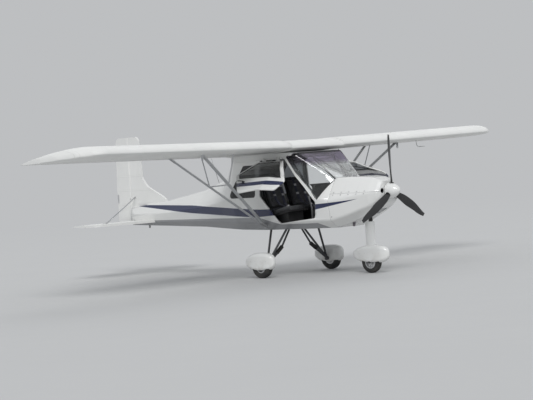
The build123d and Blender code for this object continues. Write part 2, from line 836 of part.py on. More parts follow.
def plan_prism(points, radius, half_height):
    """Prism over a plan outline, centred on the tailplane's level."""
    face = make_face(FilletPolyline(*points, radius=radius, close=True))
    return Pos(0, 0, tailplane_z) * extrude(face, amount=half_height, both=True)


def tailplane():
    """Fixed tailplane right across the boom, with the cove of the elevator's nose."""
    rear_x = elevator_hinge_x + tail_thickness / 2 + hinge_gap
    tip = tailplane_half_span
    points = [(rear_x, -tip), (-2290, -tip), (-2060, -140), (-2060, 140), (-2290, tip), (rear_x, tip)]
    plate = plan_prism(points, (0, 110, 60, 60, 110, 0), tail_thickness / 2 - tail_step)
    places = [side * y for side in (-1, 1) for y in elevator_hinges]
    brackets = [Pos(elevator_hinge_x, 0, tailplane_z) * bracket for bracket in tail_brackets(places)]
    return together([plate, *brackets])


def elevator():
    """Two elevator halves on one torque tube, notched for the rudder."""
    length = elevator_hinge_x - elevator_tail_x
    halves = []
    for side in (-1, 1):
        start, end = sorted((side * elevator_root_y, side * tailplane_half_span))
        places = [side * y for y in elevator_hinges]
        level = with_hinge_notches(tapered_tail(length, start, end), tail_thickness / 2, places)
        blade = Pos(elevator_hinge_x, 0, tailplane_z) * level
        front_x = elevator_hinge_x + tail_thickness
        points = [
            (front_x, side * elevator_root_y),
            (elevator_hinge_x - 60, side * elevator_root_y),
            (elevator_tail_x, side * elevator_notch_y),
            (elevator_tail_x, side * (tailplane_half_span - 30)),
            (elevator_hinge_x, side * tailplane_half_span),
            (front_x, side * tailplane_half_span),
        ]
        halves.append(blade & plan_prism(points, (0, 30, 30, 60, 30, 0), 100))
    tube_end = elevator_root_y + 20
    tube = along_span(torque_tube_radius, -tube_end, tube_end, elevator_hinge_x, tailplane_z)
    return together([tube, *halves])


def tail_braces(fin_plate, plane_plate):
    """Struts from the tailplane up to the fin, on both sides."""
    low = (-2470, brace_y, tailplane_z)
    high = (-2640, 0, brace_z)
    strut = bar(low, high, brace_radius) - fin_plate - plane_plate
    return Compound(children=port_and_starboard(strut))


# Landing gear


# Spat sections from nose to tail: shares of the length, half width and half height
spat_rows = [
    (0.00, 0.08, 0.10),
    (0.02, 0.34, 0.40),
    (0.07, 0.62, 0.66),
    (0.22, 0.93, 0.93),
    (0.42, 1.00, 1.00),
    (0.64, 0.93, 0.92),
    (0.86, 0.58, 0.62),
    (0.96, 0.28, 0.34),
    (1.00, 0.06, 0.10),
]


def spat_body(axle, nose_x, length, half_width, low_z, high_z, inset):
    """Streamlined body round a wheel, drawn in by the inset."""
    rows = spat_rows if inset == 0 else spat_rows[2:-2]
    middle_z, half_height = (low_z + high_z) / 2, (high_z - low_z) / 2
    faces = []
    for share, width_share, height_share in rows:
        width = 2 * (half_width * width_share - inset)
        height = 2 * (half_height * height_share - inset)
        plane = Plane(origin=(nose_x - share * length, axle[1], middle_z), x_dir=(0, 1, 0), z_dir=(1, 0, 0))
        faces.append(plane * RectangleRounded(width, height, 0.38 * min(width, height)))
    return loft(faces)


def spat(axle, tyre_radius, tyre_width, nose_x, length, low_z, top_clearance):
    """Spat's outer form and its hollow shell, open below for the wheel."""
    half_width = tyre_width / 2 + spat_side_clearance + spat_wall
    high_z = 2 * tyre_radius + top_clearance + spat_wall
    outer = spat_body(axle, nose_x, length, half_width, low_z, high_z, 0)
    inner = spat_body(axle, nose_x, length, half_width, low_z, high_z, spat_wall)
    drop = tyre_radius - low_z
    reach = math.sqrt(tyre_radius**2 - drop**2) + 18
    mouth = block(
        (axle[0] - reach, axle[0] + reach),
        (axle[1] - tyre_width / 2 - 14, axle[1] + tyre_width / 2 + 14),
        (low_z - 20, low_z + 40),
    )
    return outer, outer - inner - mouth


def tyre(axle, radius, width):
    """Balloon tyre with rounded shoulders."""
    depth = radius - rim_radius
    plane = Plane(origin=axle, x_dir=(1, 0, 0), z_dir=(0, 0, 1))
    section = RectangleRounded(depth, width, min(depth, width) * tyre_roundness)
    tread = revolve(plane * Pos(rim_radius + depth / 2, 0) * section, axis=Axis(axle, (0, 1, 0)))
    seat = Pos(*axle) * Rot(90, 0, 0) * Cylinder(rim_radius + 6, width + 10)
    return tread - seat


def rim(axle):
    """Wheel with a dished disc and a hub tube."""
    turn = Pos(*axle) * Rot(90, 0, 0)
    barrel = turn * (Cylinder(rim_radius + 6, rim_width - 22) - Cylinder(rim_radius - 4, rim_width))
    flange = turn * (Cylinder(rim_radius + 6, 6) - Cylinder(rim_radius - 8, 8))
    flanges = [Pos(0, side * (rim_width / 2 - 8), 0) * flange for side in (-1, 1)]
    disc = turn * Cylinder(rim_radius - 2, 8)
    hub = turn * Cylinder(34, rim_width - 10)
    hole = Pos(rim_hole_circle, 0, 0) * Cylinder(rim_hole_radius, 20)
    holes = [turn * Rot(0, 0, 360 / rim_hole_count * k) * hole for k in range(rim_hole_count)]
    bore = turn * Cylinder(axle_radius + axle_clearance, rim_width + 20)
    return together([barrel, disc, hub, *flanges]) - together(holes) - bore


def main_gear():
    """Both main legs: a tube V, a sprung strut to the belly and the axle."""
    outer_y = track / 2 + rim_width / 2 + 6
    inner_y = track / 2 - main_tyre_width / 2 - spat_side_clearance - spat_wall - 12
    knee = (main_axle_x, inner_y - 8, main_tyre_radius + 10)
    pieces = [
        bar(knee, (main_axle_x + 165, 330, belly_z + 60), gear_tube),
        bar(knee, (main_axle_x - 190, 330, belly_z + 60), gear_tube),
        bar((main_axle_x, inner_y - 26, main_tyre_radius + 28), (main_axle_x, 330, 450), 24),
        bar((main_axle_x, 340, 440), (main_axle_x, 95, belly_z + 50), 15),
        along_span(axle_radius, inner_y - 40, outer_y, main_axle_x, main_tyre_radius),
        along_span(30, inner_y - 30, inner_y + 12, main_axle_x, main_tyre_radius),
        along_span(axle_radius + 8, outer_y - 2, outer_y + 5, main_axle_x, main_tyre_radius),
    ]
    return together(pieces) - fuselage_body


def main_spat(legs):
    """Port main spat, let in round the axle."""
    axle = (main_axle_x, track / 2, main_tyre_radius)
    nose_x = main_axle_x + main_spat_lead
    size = (main_spat_length, main_spat_low_z, main_spat_clearance)
    return spat(axle, main_tyre_radius, main_tyre_width, nose_x, *size)[1] - legs


def nose_leg():
    """Steering leg, its fork and the nose axle."""
    axle_z = nose_tyre_radius
    crown_z = 2 * nose_tyre_radius + 12
    arm_y = nose_tyre_width / 2 + fork_clearance + fork_arm / 2
    leg = Pos(steer_x, 0, (leg_top_z + crown_z) / 2) * Cylinder(leg_radius, leg_top_z - crown_z)
    collar = Pos(steer_x, 0, leg_top_z - 14) * Cylinder(leg_radius + 11, 18)
    arms = []
    for side in (-1, 1):
        points = [
            (steer_x + 30, crown_z + 14),
            (steer_x - 34, crown_z + 14),
            (nose_axle_x - 22, axle_z),
            (nose_axle_x - 14, axle_z - 18),
            (nose_axle_x + 14, axle_z - 18),
            (nose_axle_x + 22, axle_z),
        ]
        face = side_face(points, 5)
        arms.append(Pos(0, side * arm_y, 0) * extrude(face, amount=fork_arm / 2, dir=(0, 1, 0), both=True))
    crown_y = arm_y + fork_arm / 2
    crown = block((steer_x - 34, steer_x + 30), (-crown_y, crown_y), (crown_z, crown_z + 14))
    axle_end = arm_y + fork_arm / 2 + 5
    axle = along_span(axle_radius, -axle_end, axle_end, nose_axle_x, axle_z)
    tow_bore = along_span(tow_bore_radius, -axle_end - 1, axle_end + 1, nose_axle_x, axle_z)
    return together([leg, collar, crown, axle, *arms]) - tow_bore


def nose_fairings(leg):
    """Nose wheel's spat and the streamlined cuff round the leg above it, which both turn with the leg."""
    axle = (nose_axle_x, 0, nose_tyre_radius)
    nose_x = nose_axle_x + nose_spat_lead
    size = (nose_spat_length, nose_spat_low_z, nose_spat_clearance)
    outer, shell = spat(axle, nose_tyre_radius, nose_tyre_width, nose_x, *size)
    low_z = 2 * nose_tyre_radius + nose_spat_clearance
    cuff = Pos(steer_x - 22, 0, low_z) * extrude(Ellipse(cuff_half_chord, cuff_half_width), cuff_top_z - low_z)
    hole_radius = tow_bore_radius + tow_hole_margin
    tow_hole = along_span(hole_radius, -nose_tyre_width, nose_tyre_width, nose_axle_x, nose_tyre_radius)
    return shell - leg - tow_hole, cuff - leg - outer


# Propeller


# Blade sections: radius, chord, thickness and pitch angle in degrees
blade_rows = [
    (78, 42, 38, 62),
    (190, 98, 27, 45),
    (400, 122, 15, 27),
    (620, 98, 10, 18),
    (propeller_radius, 52, 5, 13),
]


def blade():
    """Upright propeller blade: twisted lens sections on a round root."""
    faces = []
    for radius, width, thickness, pitch in blade_rows:
        a = math.radians(pitch)
        plane = Plane(origin=(propeller_x, 0, radius), x_dir=(-math.sin(a), math.cos(a), 0), z_dir=(0, 0, -1))
        faces.append(plane * Pos(-0.08 * width, 0) * Ellipse(width / 2, thickness / 2))
    root = Pos(propeller_x, 0, (hub_radius + 95) / 2 - 8) * Cylinder(blade_root_radius, 95 - hub_radius + 16)
    return loft(faces) + root


def propeller():
    """Three blades on the hub, with the shaft that turns in the gearbox."""
    hub = Rot(0, 90, 0) * Cylinder(hub_radius, 74)
    pieces = [Pos(propeller_x, 0, 0) * hub]
    for k in range(blade_count):
        pieces.append(Rot(360 / blade_count * k, 0, 0) * blade())
    start_x = cowl_front_x - 80
    pieces.append(bar((start_x, 0, 0), (propeller_x, 0, 0), shaft_radius))
    return Pos(0, 0, thrust_z) * together(pieces)


def spinner(blades):
    """Pointed spinner, hollow, on its back plate."""
    tip = (spinner_tip_x, 0)
    rim_point = (spinner_back_x, spinner_radius)
    back = Line((spinner_back_x, 0), rim_point)
    flank = Bezier(rim_point, (spinner_back_x + 120, spinner_radius - 4), (spinner_tip_x, 40), tip)
    profile = make_face(Plane.XZ * (back + flank + Line(tip, (spinner_back_x, 0))))
    outer = revolve(profile, axis=Axis.X)
    cavity = Pos(propeller_x - 1, 0, 0) * Rot(0, 90, 0) * Cylinder(spinner_radius - 24, 82)
    port = Pos(propeller_x, 0, spinner_radius) * Cylinder(blade_root_radius + 9, 80)
    ports = [Rot(360 / blade_count * k, 0, 0) * port for k in range(blade_count)]
    cone = outer - cavity - together(ports)
    return Pos(0, 0, thrust_z) * cone - blades


def build():
    """Every sub-part of the aeroplane by name."""
    parts = {}
    parts["upper_cowl"], parts["lower_cowl"] = cowl_halves()
    parts["firewall"] = firewall_plate()
    parts["engine"] = engine_block()
    parts["engine_mount"] = engine_mount()
    parts["radiator"] = radiator() - parts["lower_cowl"]
    parts["exhaust_pipe"] = exhaust_pipe()
    parts["cabin_shell"], parts["windscreen"] = cabin_parts()
    parts["cabin_frame"] = cabin_frame()
    parts["rear_fuselage"], parts["rear_windows"] = rear_parts()
    parts["instrument_panel"] = instrument_panel(parts["cabin_frame"])
    parts["seats"] = seats()
    parts["seat_cushions"] = seat_cushions()
    parts["flight_controls"] = flight_controls()
    parts["fuel_tank"] = fuel_tank()

    panel = wing_panel()
    parts["wing_centre"] = wing_centre() - parts["cabin_shell"]
    parts["wing_panels"] = Compound(children=port_and_starboard(panel))
    parts["lift_struts"] = Compound(children=port_and_starboard(lift_struts(panel)))
    surfaces = {"flap": (flap_start, flap_end), "aileron": (aileron_start, aileron_end)}
    for name, (start, end) in surfaces.items():
        pair = port_and_starboard(set_wing(trailing_surface(start, end)))
        parts[name + "_port"], parts[name + "_starboard"] = pair

    parts["fin"] = fin()
    parts["tailplane"] = tailplane()
    hole_radius = torque_tube_radius + torque_tube_clearance
    torque_hole = along_span(hole_radius, -elevator_root_y, elevator_root_y, elevator_hinge_x, tailplane_z)
    tail_eye = tie_down_eye(tail_eye_x, 0, tail_eye_z, 60) - rear_space
    parts["rear_fuselage"] = (parts["rear_fuselage"] + tail_eye) - parts["tailplane"] - torque_hole
    parts["tail_braces"] = tail_braces(parts["fin"], parts["tailplane"])
    parts["rudder"] = rudder()
    parts["elevator"] = elevator()

    legs = main_gear()
    parts["main_gear"] = Compound(children=port_and_starboard(legs))
    parts["main_spats"] = Compound(children=port_and_starboard(main_spat(legs)))
    parts["nose_leg"] = nose_leg()
    parts["nose_spat"], parts["nose_leg_fairing"] = nose_fairings(parts["nose_leg"])
    # wheels: name, axle centre, tyre radius, tyre width
    wheels = [
        ("nose", (nose_axle_x, 0, nose_tyre_radius), nose_tyre_radius, nose_tyre_width),
        ("port", (main_axle_x, track / 2, main_tyre_radius), main_tyre_radius, main_tyre_width),
        ("starboard", (main_axle_x, -track / 2, main_tyre_radius), main_tyre_radius, main_tyre_width),
    ]
    for name, axle, radius, width in wheels:
        parts[name + "_tyre"] = tyre(axle, radius, width)
        parts[name + "_rim"] = rim(axle)

    frame, pane = door_parts()
    for name, piece in {"door": frame, "door_pane": pane}.items():
        parts[name + "_port"], parts[name + "_starboard"] = port_and_starboard(piece)
    for name, side in {"port": 1, "starboard": -1}.items():
        parts["gas_cylinder_" + name], parts["gas_rod_" + name] = gas_strut(side)

    parts["propeller"] = propeller()
    parts["spinner"] = spinner(parts["propeller"])
    return parts


os.makedirs("parts", exist_ok=True)
for name, piece in build().items():
    export_step(piece, f"parts/{name}.step")
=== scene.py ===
# %% [markdown]
# # A two-seat microlight aeroplane, dressed for a studio picture
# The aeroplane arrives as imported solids: cowling, cabin, wing, tail, wheels and controls, each riding on its
# own body. This lesson gives them finishes, adds the small fittings that a plain solid leaves out, and sets
# up a soft studio. Everything is in metres, X forward, Y to port, Z up, with the wheels on the ground.

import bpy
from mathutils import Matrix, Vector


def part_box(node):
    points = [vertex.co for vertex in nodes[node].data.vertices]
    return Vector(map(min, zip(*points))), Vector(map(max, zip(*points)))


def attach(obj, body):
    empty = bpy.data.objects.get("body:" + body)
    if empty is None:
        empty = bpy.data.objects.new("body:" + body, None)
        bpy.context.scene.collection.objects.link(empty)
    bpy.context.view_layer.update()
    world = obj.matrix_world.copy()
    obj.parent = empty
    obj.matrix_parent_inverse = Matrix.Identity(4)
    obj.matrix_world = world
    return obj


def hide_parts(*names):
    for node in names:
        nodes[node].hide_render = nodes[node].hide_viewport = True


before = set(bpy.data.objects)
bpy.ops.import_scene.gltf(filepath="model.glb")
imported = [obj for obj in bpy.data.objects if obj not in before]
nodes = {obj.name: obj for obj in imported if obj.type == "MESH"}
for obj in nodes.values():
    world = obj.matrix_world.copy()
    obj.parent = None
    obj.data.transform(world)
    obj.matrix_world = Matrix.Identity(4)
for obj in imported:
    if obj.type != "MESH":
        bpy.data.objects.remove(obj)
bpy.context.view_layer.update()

# %% [markdown]
# Python's own math helps with places and angles. bmesh is Blender's mesh editor for scripts: the same
# tools as in Edit Mode, called by name.

# %% Tools of the lesson
import math

import bmesh
import bpy
from mathutils import Matrix, Vector
from mathutils.bvhtree import BVHTree

scene = bpy.context.scene
print("Blender", bpy.app.version_string)

# %% [markdown]
# ## Building materials from nodes
# Every finish here is a small node tree. Wiring nodes by hand in Python is wordy, so one helper adds a node,
# sets its sockets and links whatever is already a socket. The coordinates are always Object coordinates:
# every piece has its origin at the aeroplane's own origin, so a pattern stays fixed to the surface.

# %% A helper that adds and wires one node
def add(tree, kind, sockets=None, **settings):
    """A new node with its settings, and its sockets set or linked by name or number."""
    made = tree.nodes.new(kind)
    for name, value in settings.items():
        setattr(made, name, value)
    for name, value in (sockets or {}).items():
        if isinstance(value, bpy.types.NodeSocket):
            tree.links.new(value, made.inputs[name])
        else:
            made.inputs[name].default_value = value
    return made


def sums(tree, operation, first, second=0.0):
    """One Math node's result."""
    return add(tree, "ShaderNodeMath", {0: first, 1: second}, operation=operation).outputs[0]


def blend_colour(tree, share, first, second):
    """Mix of two colours by a share from 0 to 1."""
    mix = add(tree, "ShaderNodeMix", {"Factor": share}, data_type="RGBA")
    for socket, colour in ((mix.inputs[6], first), (mix.inputs[7], second)):
        if isinstance(colour, bpy.types.NodeSocket):
            tree.links.new(colour, socket)
        else:
            socket.default_value = (*colour, 1)
    return mix.outputs[2]


print("node helpers ready")

# %% [markdown]
# Most surfaces share one recipe. A broad noise shifts the colour a little, as dust and hand marks do. A
# second, finer noise drives the roughness, and a very fine one a slight bump. The numbers differ from
# finish to finish; the recipe is the same, so it is a function.

# %% The shared recipe of a surface
PAINT_EDGE = 0.001  # half the width of the step between two paints


class Finish:
    """A material under construction: its tree, its shader and the colour and height so far."""

    def __init__(self, name, colour, marked, rough, patch=3.0, grain=180.0, relief=0.1, metal=0.0):
        self.material = bpy.data.materials.new(name)
        self.material.use_nodes = True
        self.tree = self.material.node_tree
        self.shader = self.tree.nodes["Principled BSDF"]
        self.place = add(self.tree, "ShaderNodeTexCoord").outputs["Object"]
        share = self.ramp(self.noise(patch, 4), 0.35, 0.75)
        self.colour = blend_colour(self.tree, share, colour, marked)
        self.set("Roughness", self.ramp(self.noise(patch * 6, 5), 0.3, 0.7, *rough))
        self.set("Metallic", metal)
        self.height = self.noise(grain, 2)
        self.relief = relief

    def noise(self, scale, detail):
        """Noise over the piece, from 0 to 1."""
        sockets = {"Vector": self.place, "Scale": scale, "Detail": detail}
        return add(self.tree, "ShaderNodeTexNoise", sockets).outputs[0]

    def ramp(self, value, low, high, out_low=0.0, out_high=1.0):
        """Value between low and high, spread evenly over the new range and held at its ends."""
        sockets = {0: value, 1: low, 2: high, 3: out_low, 4: out_high}
        return add(self.tree, "ShaderNodeMapRange", sockets).outputs[0]

    def above_zero(self, value):
        """1 where the value is above zero, 0 where it is below, with a step as narrow as a paint edge."""
        return self.ramp(value, -PAINT_EDGE, PAINT_EDGE)

    def axis(self, letter):
        """One coordinate of the surface point, in metres."""
        return add(self.tree, "ShaderNodeSeparateXYZ", {0: self.place}).outputs[letter]

    def paint(self, mask, colour):
        """Lays a colour over what is there where the mask is 1."""
        self.colour = blend_colour(self.tree, mask, self.colour, colour)

    def weave(self, directions, scale, distortion):
        """Adds crossed threads to the height."""
        sockets = {"Vector": self.place, "Scale": scale, "Distortion": distortion}
        for direction in directions:
            wave = add(self.tree, "ShaderNodeTexWave", sockets, bands_direction=direction).outputs[1]
            self.height = sums(self.tree, "ADD", self.height, wave)

    def set(self, socket, value):
        """Sets or links a socket of the shader."""
        if isinstance(value, bpy.types.NodeSocket):
            self.tree.links.new(value, self.shader.inputs[socket])
        else:
            self.shader.inputs[socket].default_value = value

    def done(self, depth=0.001):
        """Links the colour and the bump, and gives the finished material."""
        self.set("Base Color", self.colour)
        sockets = {"Height": self.height, "Strength": self.relief, "Distance": depth}
        self.set("Normal", add(self.tree, "ShaderNodeBump", sockets).outputs[0])
        return self.material


print("recipe ready")

# %% [markdown]
# ## White gel coat
# The cowling, the cabin shell, the rear fuselage and the spats are moulded glass fibre with a glossy white
# gel coat, and a navy stripe runs along the side. The stripe is a mask: the height of a surface point is
# compared with a line that depends on its place along the fuselage. Masks like this need no UV map, and
# they meet across the joint between two mouldings because both read the same coordinates. The joints
# themselves are hairlines of shadow, and the wheels throw a little dust on the lower part of the spats.

# %% Gel coat with the navy stripe
WHITE = (0.80, 0.80, 0.78)
WHITE_MARKED = (0.768, 0.772, 0.762)
NAVY = (0.010, 0.017, 0.070)
BELLY_SHADE_GREY = (0.30, 0.305, 0.315)
STRIPE_LOW_X = 0.6     # the stripe runs lowest here
STRIPE_LOW_Z = 0.985
STRIPE_BEND = 0.038    # its rise ahead of there, for each square metre
STRIPE_SLOPE = 0.06    # its rise behind there, for each metre
STRIPE_HALF = 0.063    # half its width on the fuselage
STRIPE_COWL_HALF = 0.050
STRIPE_TAIL_HALF = 0.012
STRIPE_TIP_LOSS = 0.052  # a little over the cowl's half width, so that it ends in a point
BELLY_TOP_Z = 0.92     # the grey belly reaches up to here behind, and
BELLY_CABIN_Z = 0.80   # to here under the cabin
GLOSS_RANGE = (0.17, 0.22)
SEAM_GREY = (0.16, 0.16, 0.165)
SEAM_HALF = 0.0011
COWL_PART_Z = 1.225    # the cowl's halves meet here
COWL_END_X = 2.110     # the cowl meets the cabin here
ROAD_DUST = (0.60, 0.58, 0.54)


def gel_coat(name):
    """White gel coat, before any paint over it."""
    return Finish(name, WHITE, WHITE_MARKED, GLOSS_RANGE, patch=0.7, grain=90, relief=0.03)


def stripe_and_belly_shade(finish, along, height):
    """Lays the navy stripe over the finish, and grey painted shade over the belly."""
    tree = finish.tree
    forward = sums(tree, "MAXIMUM", sums(tree, "SUBTRACT", along, STRIPE_LOW_X))
    aft = sums(tree, "MAXIMUM", sums(tree, "SUBTRACT", STRIPE_LOW_X, along))
    rise_forward = sums(tree, "MULTIPLY", sums(tree, "MULTIPLY", forward, forward), STRIPE_BEND)
    rise_aft = sums(tree, "MULTIPLY", aft, STRIPE_SLOPE)
    middle = sums(tree, "ADD", sums(tree, "ADD", rise_forward, rise_aft), STRIPE_LOW_Z)
    tail_half = finish.ramp(along, -2.5, -1.0, STRIPE_TAIL_HALF, STRIPE_HALF)
    side_half = finish.ramp(along, 0.6, 1.0, STRIPE_HALF, STRIPE_COWL_HALF)
    tip_loss = finish.ramp(along, 1.7, 2.62, 0.0, STRIPE_TIP_LOSS)
    half = sums(tree, "MINIMUM", tail_half, sums(tree, "SUBTRACT", side_half, tip_loss))
    distance = sums(tree, "ABSOLUTE", sums(tree, "SUBTRACT", height, middle))
    finish.paint(finish.above_zero(sums(tree, "SUBTRACT", half, distance)), NAVY)
    # Painted shade: the belly is painted grey below a line parallel to the stripe, standing for the shade
    # under the body.
    belly_top = finish.ramp(along, 0.7, 1.15, BELLY_TOP_Z, BELLY_CABIN_Z)
    belly_end = finish.ramp(along, 1.85, 2.1, 0.0, 0.15)
    to_top = sums(tree, "SUBTRACT", sums(tree, "SUBTRACT", belly_top, belly_end), height)
    finish.paint(finish.above_zero(to_top), BELLY_SHADE_GREY)


def gloss(finish, weight=0.6):
    """Clear coat over the colour, as on gel coat and polished paint."""
    finish.set("Coat Weight", weight)
    finish.set("Coat Roughness", 0.08)


def seam_line(finish, distance):
    """Thin dark line where the distance from a joint is next to nothing."""
    finish.paint(finish.ramp(distance, SEAM_HALF, SEAM_HALF * 1.4, 1.0, 0.0), SEAM_GREY)


body_gel = gel_coat("gel_coat_body")
stripe_and_belly_shade(body_gel, body_gel.axis("X"), body_gel.axis("Z"))
to_end = sums(body_gel.tree, "SUBTRACT", body_gel.axis("X"), COWL_END_X)
seam_line(body_gel, sums(body_gel.tree, "ABSOLUTE", to_end))
to_joint = sums(body_gel.tree, "ABSOLUTE", sums(body_gel.tree, "SUBTRACT", body_gel.axis("Z"), COWL_PART_Z))
seam_line(body_gel, sums(body_gel.tree, "SUBTRACT", to_joint, sums(body_gel.tree, "MINIMUM", to_end, 0.0)))
gloss(body_gel)
gel_coat_body = body_gel.done(0.0004)

plain_gel = gel_coat("gel_coat_plain")
low_down = plain_gel.ramp(plain_gel.axis("Z"), 0.13, 0.34, 0.75, 0.0)
thrown_up = sums(plain_gel.tree, "MULTIPLY", low_down, plain_gel.ramp(plain_gel.noise(9, 5), 0.42, 0.68))
plain_gel.paint(thrown_up, ROAD_DUST)
gloss(plain_gel)
gel_coat_plain = plain_gel.done(0.0004)
print(gel_coat_body.name, gel_coat_plain.name)

# %% [markdown]
# The doors stand open at rest, turned up about hinges at the roof, yet the stripe has to meet the body's
# when they close. So the height that their mask reads is the height the point has when the door is shut:
# the surface point is turned back about the hinge with two multiplications.

# %% Gel coat of the doors, painted as if shut
DOOR_OPEN = math.radians(65)
DOOR_HINGE_Y = 0.570
DOOR_HINGE_Z = 1.800


def shut_height(finish):
    """Height of a door's surface point once the door is shut."""
    tree = finish.tree
    out = sums(tree, "SUBTRACT", sums(tree, "ABSOLUTE", finish.axis("Y")), DOOR_HINGE_Y)
    up = sums(tree, "SUBTRACT", finish.axis("Z"), DOOR_HINGE_Z)
    from_out = sums(tree, "MULTIPLY", out, -math.sin(DOOR_OPEN))
    from_up = sums(tree, "MULTIPLY", up, math.cos(DOOR_OPEN))
    return sums(tree, "ADD", sums(tree, "ADD", from_out, from_up), DOOR_HINGE_Z)


door_gel = gel_coat("gel_coat_door")
stripe_and_belly_shade(door_gel, door_gel.axis("X"), shut_height(door_gel))
gloss(door_gel)
gel_coat_door = door_gel.done(0.0004)
print(gel_coat_door.name)

# %% [markdown]
# ## Doped wing cloth
# The wing, the fin and the tailplane are covered with woven cloth, shrunk tight over ribs and painted. What
# gives it away is a fine weave, the cloth sinking between the ribs, and over each rib a doped tape with
# pinked edges that covers a row of stitches. All of it could be modelled, but it is less than half a
# millimetre high and runs along every rib, so it is height for the bump instead. A Ping-Pong node gives
# the distance from the nearest rib, and everything else is measured from that.

# %% Cloth with ribs, tapes and stitches
RIB_PITCH = 0.33
TAPE_HALF = 0.0155
TAPE_PINK = 0.004      # reach of the zigzag edge
STITCH_PITCH = 0.060
TAUT_RISE, TAPE_RISE, STITCH_RISE = 5.0, 1.3, 0.9  # shares of the bump's depth
EDGE_DIRT_AND_SHADE = (0.56, 0.555, 0.53)


def cloth_finish(name, colour, marked, rib_axis="Y", pitch=RIB_PITCH):
    """Painted cloth over ribs that stand a pitch apart along one axis."""
    finish = Finish(name, colour, marked, (0.52, 0.64), patch=1.6, grain=420, relief=0.45)
    tree = finish.tree
    from_rib = sums(tree, "PINGPONG", finish.axis(rib_axis), pitch / 2)
    zigzag = sums(tree, "PINGPONG", finish.axis("X"), TAPE_PINK)
    pinked = sums(tree, "ADD", from_rib, sums(tree, "MULTIPLY", zigzag, 0.5))
    from_tape = sums(tree, "SUBTRACT", pinked, TAPE_HALF)
    taped = finish.ramp(from_tape, 0.0, 0.0008, 1.0, 0.0)
    knot = finish.ramp(sums(tree, "PINGPONG", finish.axis("X"), STITCH_PITCH / 2), 0.003, 0.006, 1.0, 0.0)
    stitch = sums(tree, "MULTIPLY", knot, finish.ramp(from_rib, 0.003, 0.006, 1.0, 0.0))
    taut = sums(tree, "POWER", finish.ramp(from_rib, 0.0, pitch / 2, 1.0, 0.0), 2.0)
    finish.weave("XY", 260.0, 0.4)
    finish.height = sums(tree, "MULTIPLY", finish.height, finish.ramp(taped, 0.0, 1.0, 0.24, 0.10))
    for part, rise in ((taut, TAUT_RISE), (taped, TAPE_RISE), (stitch, STITCH_RISE)):
        finish.height = sums(tree, "ADD", finish.height, sums(tree, "MULTIPLY", part, rise))
    # Dirt and painted shade: the cloth is darker along both edges of each tape, where the tape's step throws a
    # hairline of shade, more in some places than in others.
    at_edge = finish.ramp(sums(tree, "ABSOLUTE", from_tape), 0.0006, 0.0030, 0.55, 0.0)
    here_and_there = finish.ramp(finish.noise(6, 4), 0.35, 0.65, 0.35, 1.0)
    finish.paint(sums(tree, "MULTIPLY", at_edge, here_and_there), EDGE_DIRT_AND_SHADE)
    finish.set("Specular IOR Level", 0.35)
    return finish.done(0.0006)


CLOTH_MARKED = (0.755, 0.755, 0.74)
wing_cloth = cloth_finish("wing_cloth_white", WHITE, CLOTH_MARKED)
tail_cloth = cloth_finish("tail_cloth_white", WHITE, CLOTH_MARKED, pitch=0.25)
fin_cloth = cloth_finish("fin_cloth_white", WHITE, CLOTH_MARKED, rib_axis="Z", pitch=0.24)
print(wing_cloth.name, tail_cloth.name, fin_cloth.name)

# %% [markdown]
# ## Metals
# Tubes, fittings, the engine and the exhaust are all metal, and differ in how bright, how rough and how
# grainy they are. Drawn tube has fine lines, a casting has a pebbled skin, and a hot exhaust turns straw
# and blue. A short table holds the plain ones.

# %% Metal finishes from a table
METALS = {
    # name: (colour, marked colour, roughness range, patch, grain, relief, metal)
    "frame_tube": ((0.055, 0.058, 0.062), (0.09, 0.09, 0.092), (0.38, 0.55), 6, 700, 0.12, 0.2),
    "strut_aluminium": ((0.60, 0.61, 0.62), (0.50, 0.51, 0.53), (0.26, 0.42), 5, 350, 0.05, 1.0),
    "bare_aluminium": ((0.72, 0.725, 0.73), (0.60, 0.61, 0.62), (0.32, 0.45), 5, 300, 0.03, 1.0),
    "bare_steel": ((0.50, 0.50, 0.51), (0.36, 0.355, 0.35), (0.28, 0.45), 12, 600, 0.08, 1.0),
    "engine_metal": ((0.42, 0.42, 0.41), (0.27, 0.265, 0.26), (0.48, 0.70), 14, 900, 0.35, 0.85),
    "rod_chrome": ((0.78, 0.78, 0.79), (0.70, 0.70, 0.71), (0.06, 0.14), 10, 300, 0.01, 1.0),
    "rim_metal": ((0.66, 0.665, 0.67), (0.52, 0.52, 0.52), (0.30, 0.46), 9, 450, 0.12, 0.9),
}
metals = {}
for name, (colour, marked, rough, patch, grain, relief, metal) in METALS.items():
    finish = Finish(name, colour, marked, rough, patch, grain, relief, metal)
    metals[name] = finish.done(0.0003)
print("metals", sorted(metals))

# %% [markdown]
# The exhaust gets its heat colours from the same kind of noise, stretched into soft zones, over dull steel.

# %% Exhaust steel
hot_steel = Finish("exhaust_steel", (0.30, 0.27, 0.24), (0.17, 0.13, 0.10), (0.35, 0.55), 9, 500, 0.1, 1.0)
hot_steel.paint(hot_steel.ramp(hot_steel.noise(4, 2), 0.52, 0.66, 0.0, 0.7), (0.16, 0.17, 0.27))
exhaust_steel = hot_steel.done(0.0003)
print(exhaust_steel.name)

# %% [markdown]
# ## Screens
# The windscreen is clear acrylic with a purple-grey tint band across its top. The door and rear panes are
# smoked. Clear plastic bends light, so these shaders let it through with full transmission, and the tint is
# the colour of what passes. A sheet a few millimetres thick is already modelled, so nothing else is needed.

# %% Clear and smoked panes
TINT = (0.30, 0.26, 0.36)


def pane_finish(name, colour, marked):
    """Clear plastic: colour is what the light keeps."""
    finish = Finish(name, colour, marked, (0.015, 0.05), patch=5, grain=40, relief=0.012)
    finish.set("Transmission Weight", 1.0)
    finish.set("IOR", 1.49)
    return finish


screen = pane_finish("clear_screen", (0.93, 0.95, 0.95), (0.88, 0.90, 0.90))
screen.paint(screen.ramp(screen.axis("Z"), 1.66, 1.74), TINT)
clear_screen = screen.done(0.0003)
smoked_pane = pane_finish("smoked_pane", (0.20, 0.21, 0.22), (0.15, 0.155, 0.165)).done(0.0003)
print(clear_screen.name, smoked_pane.name)

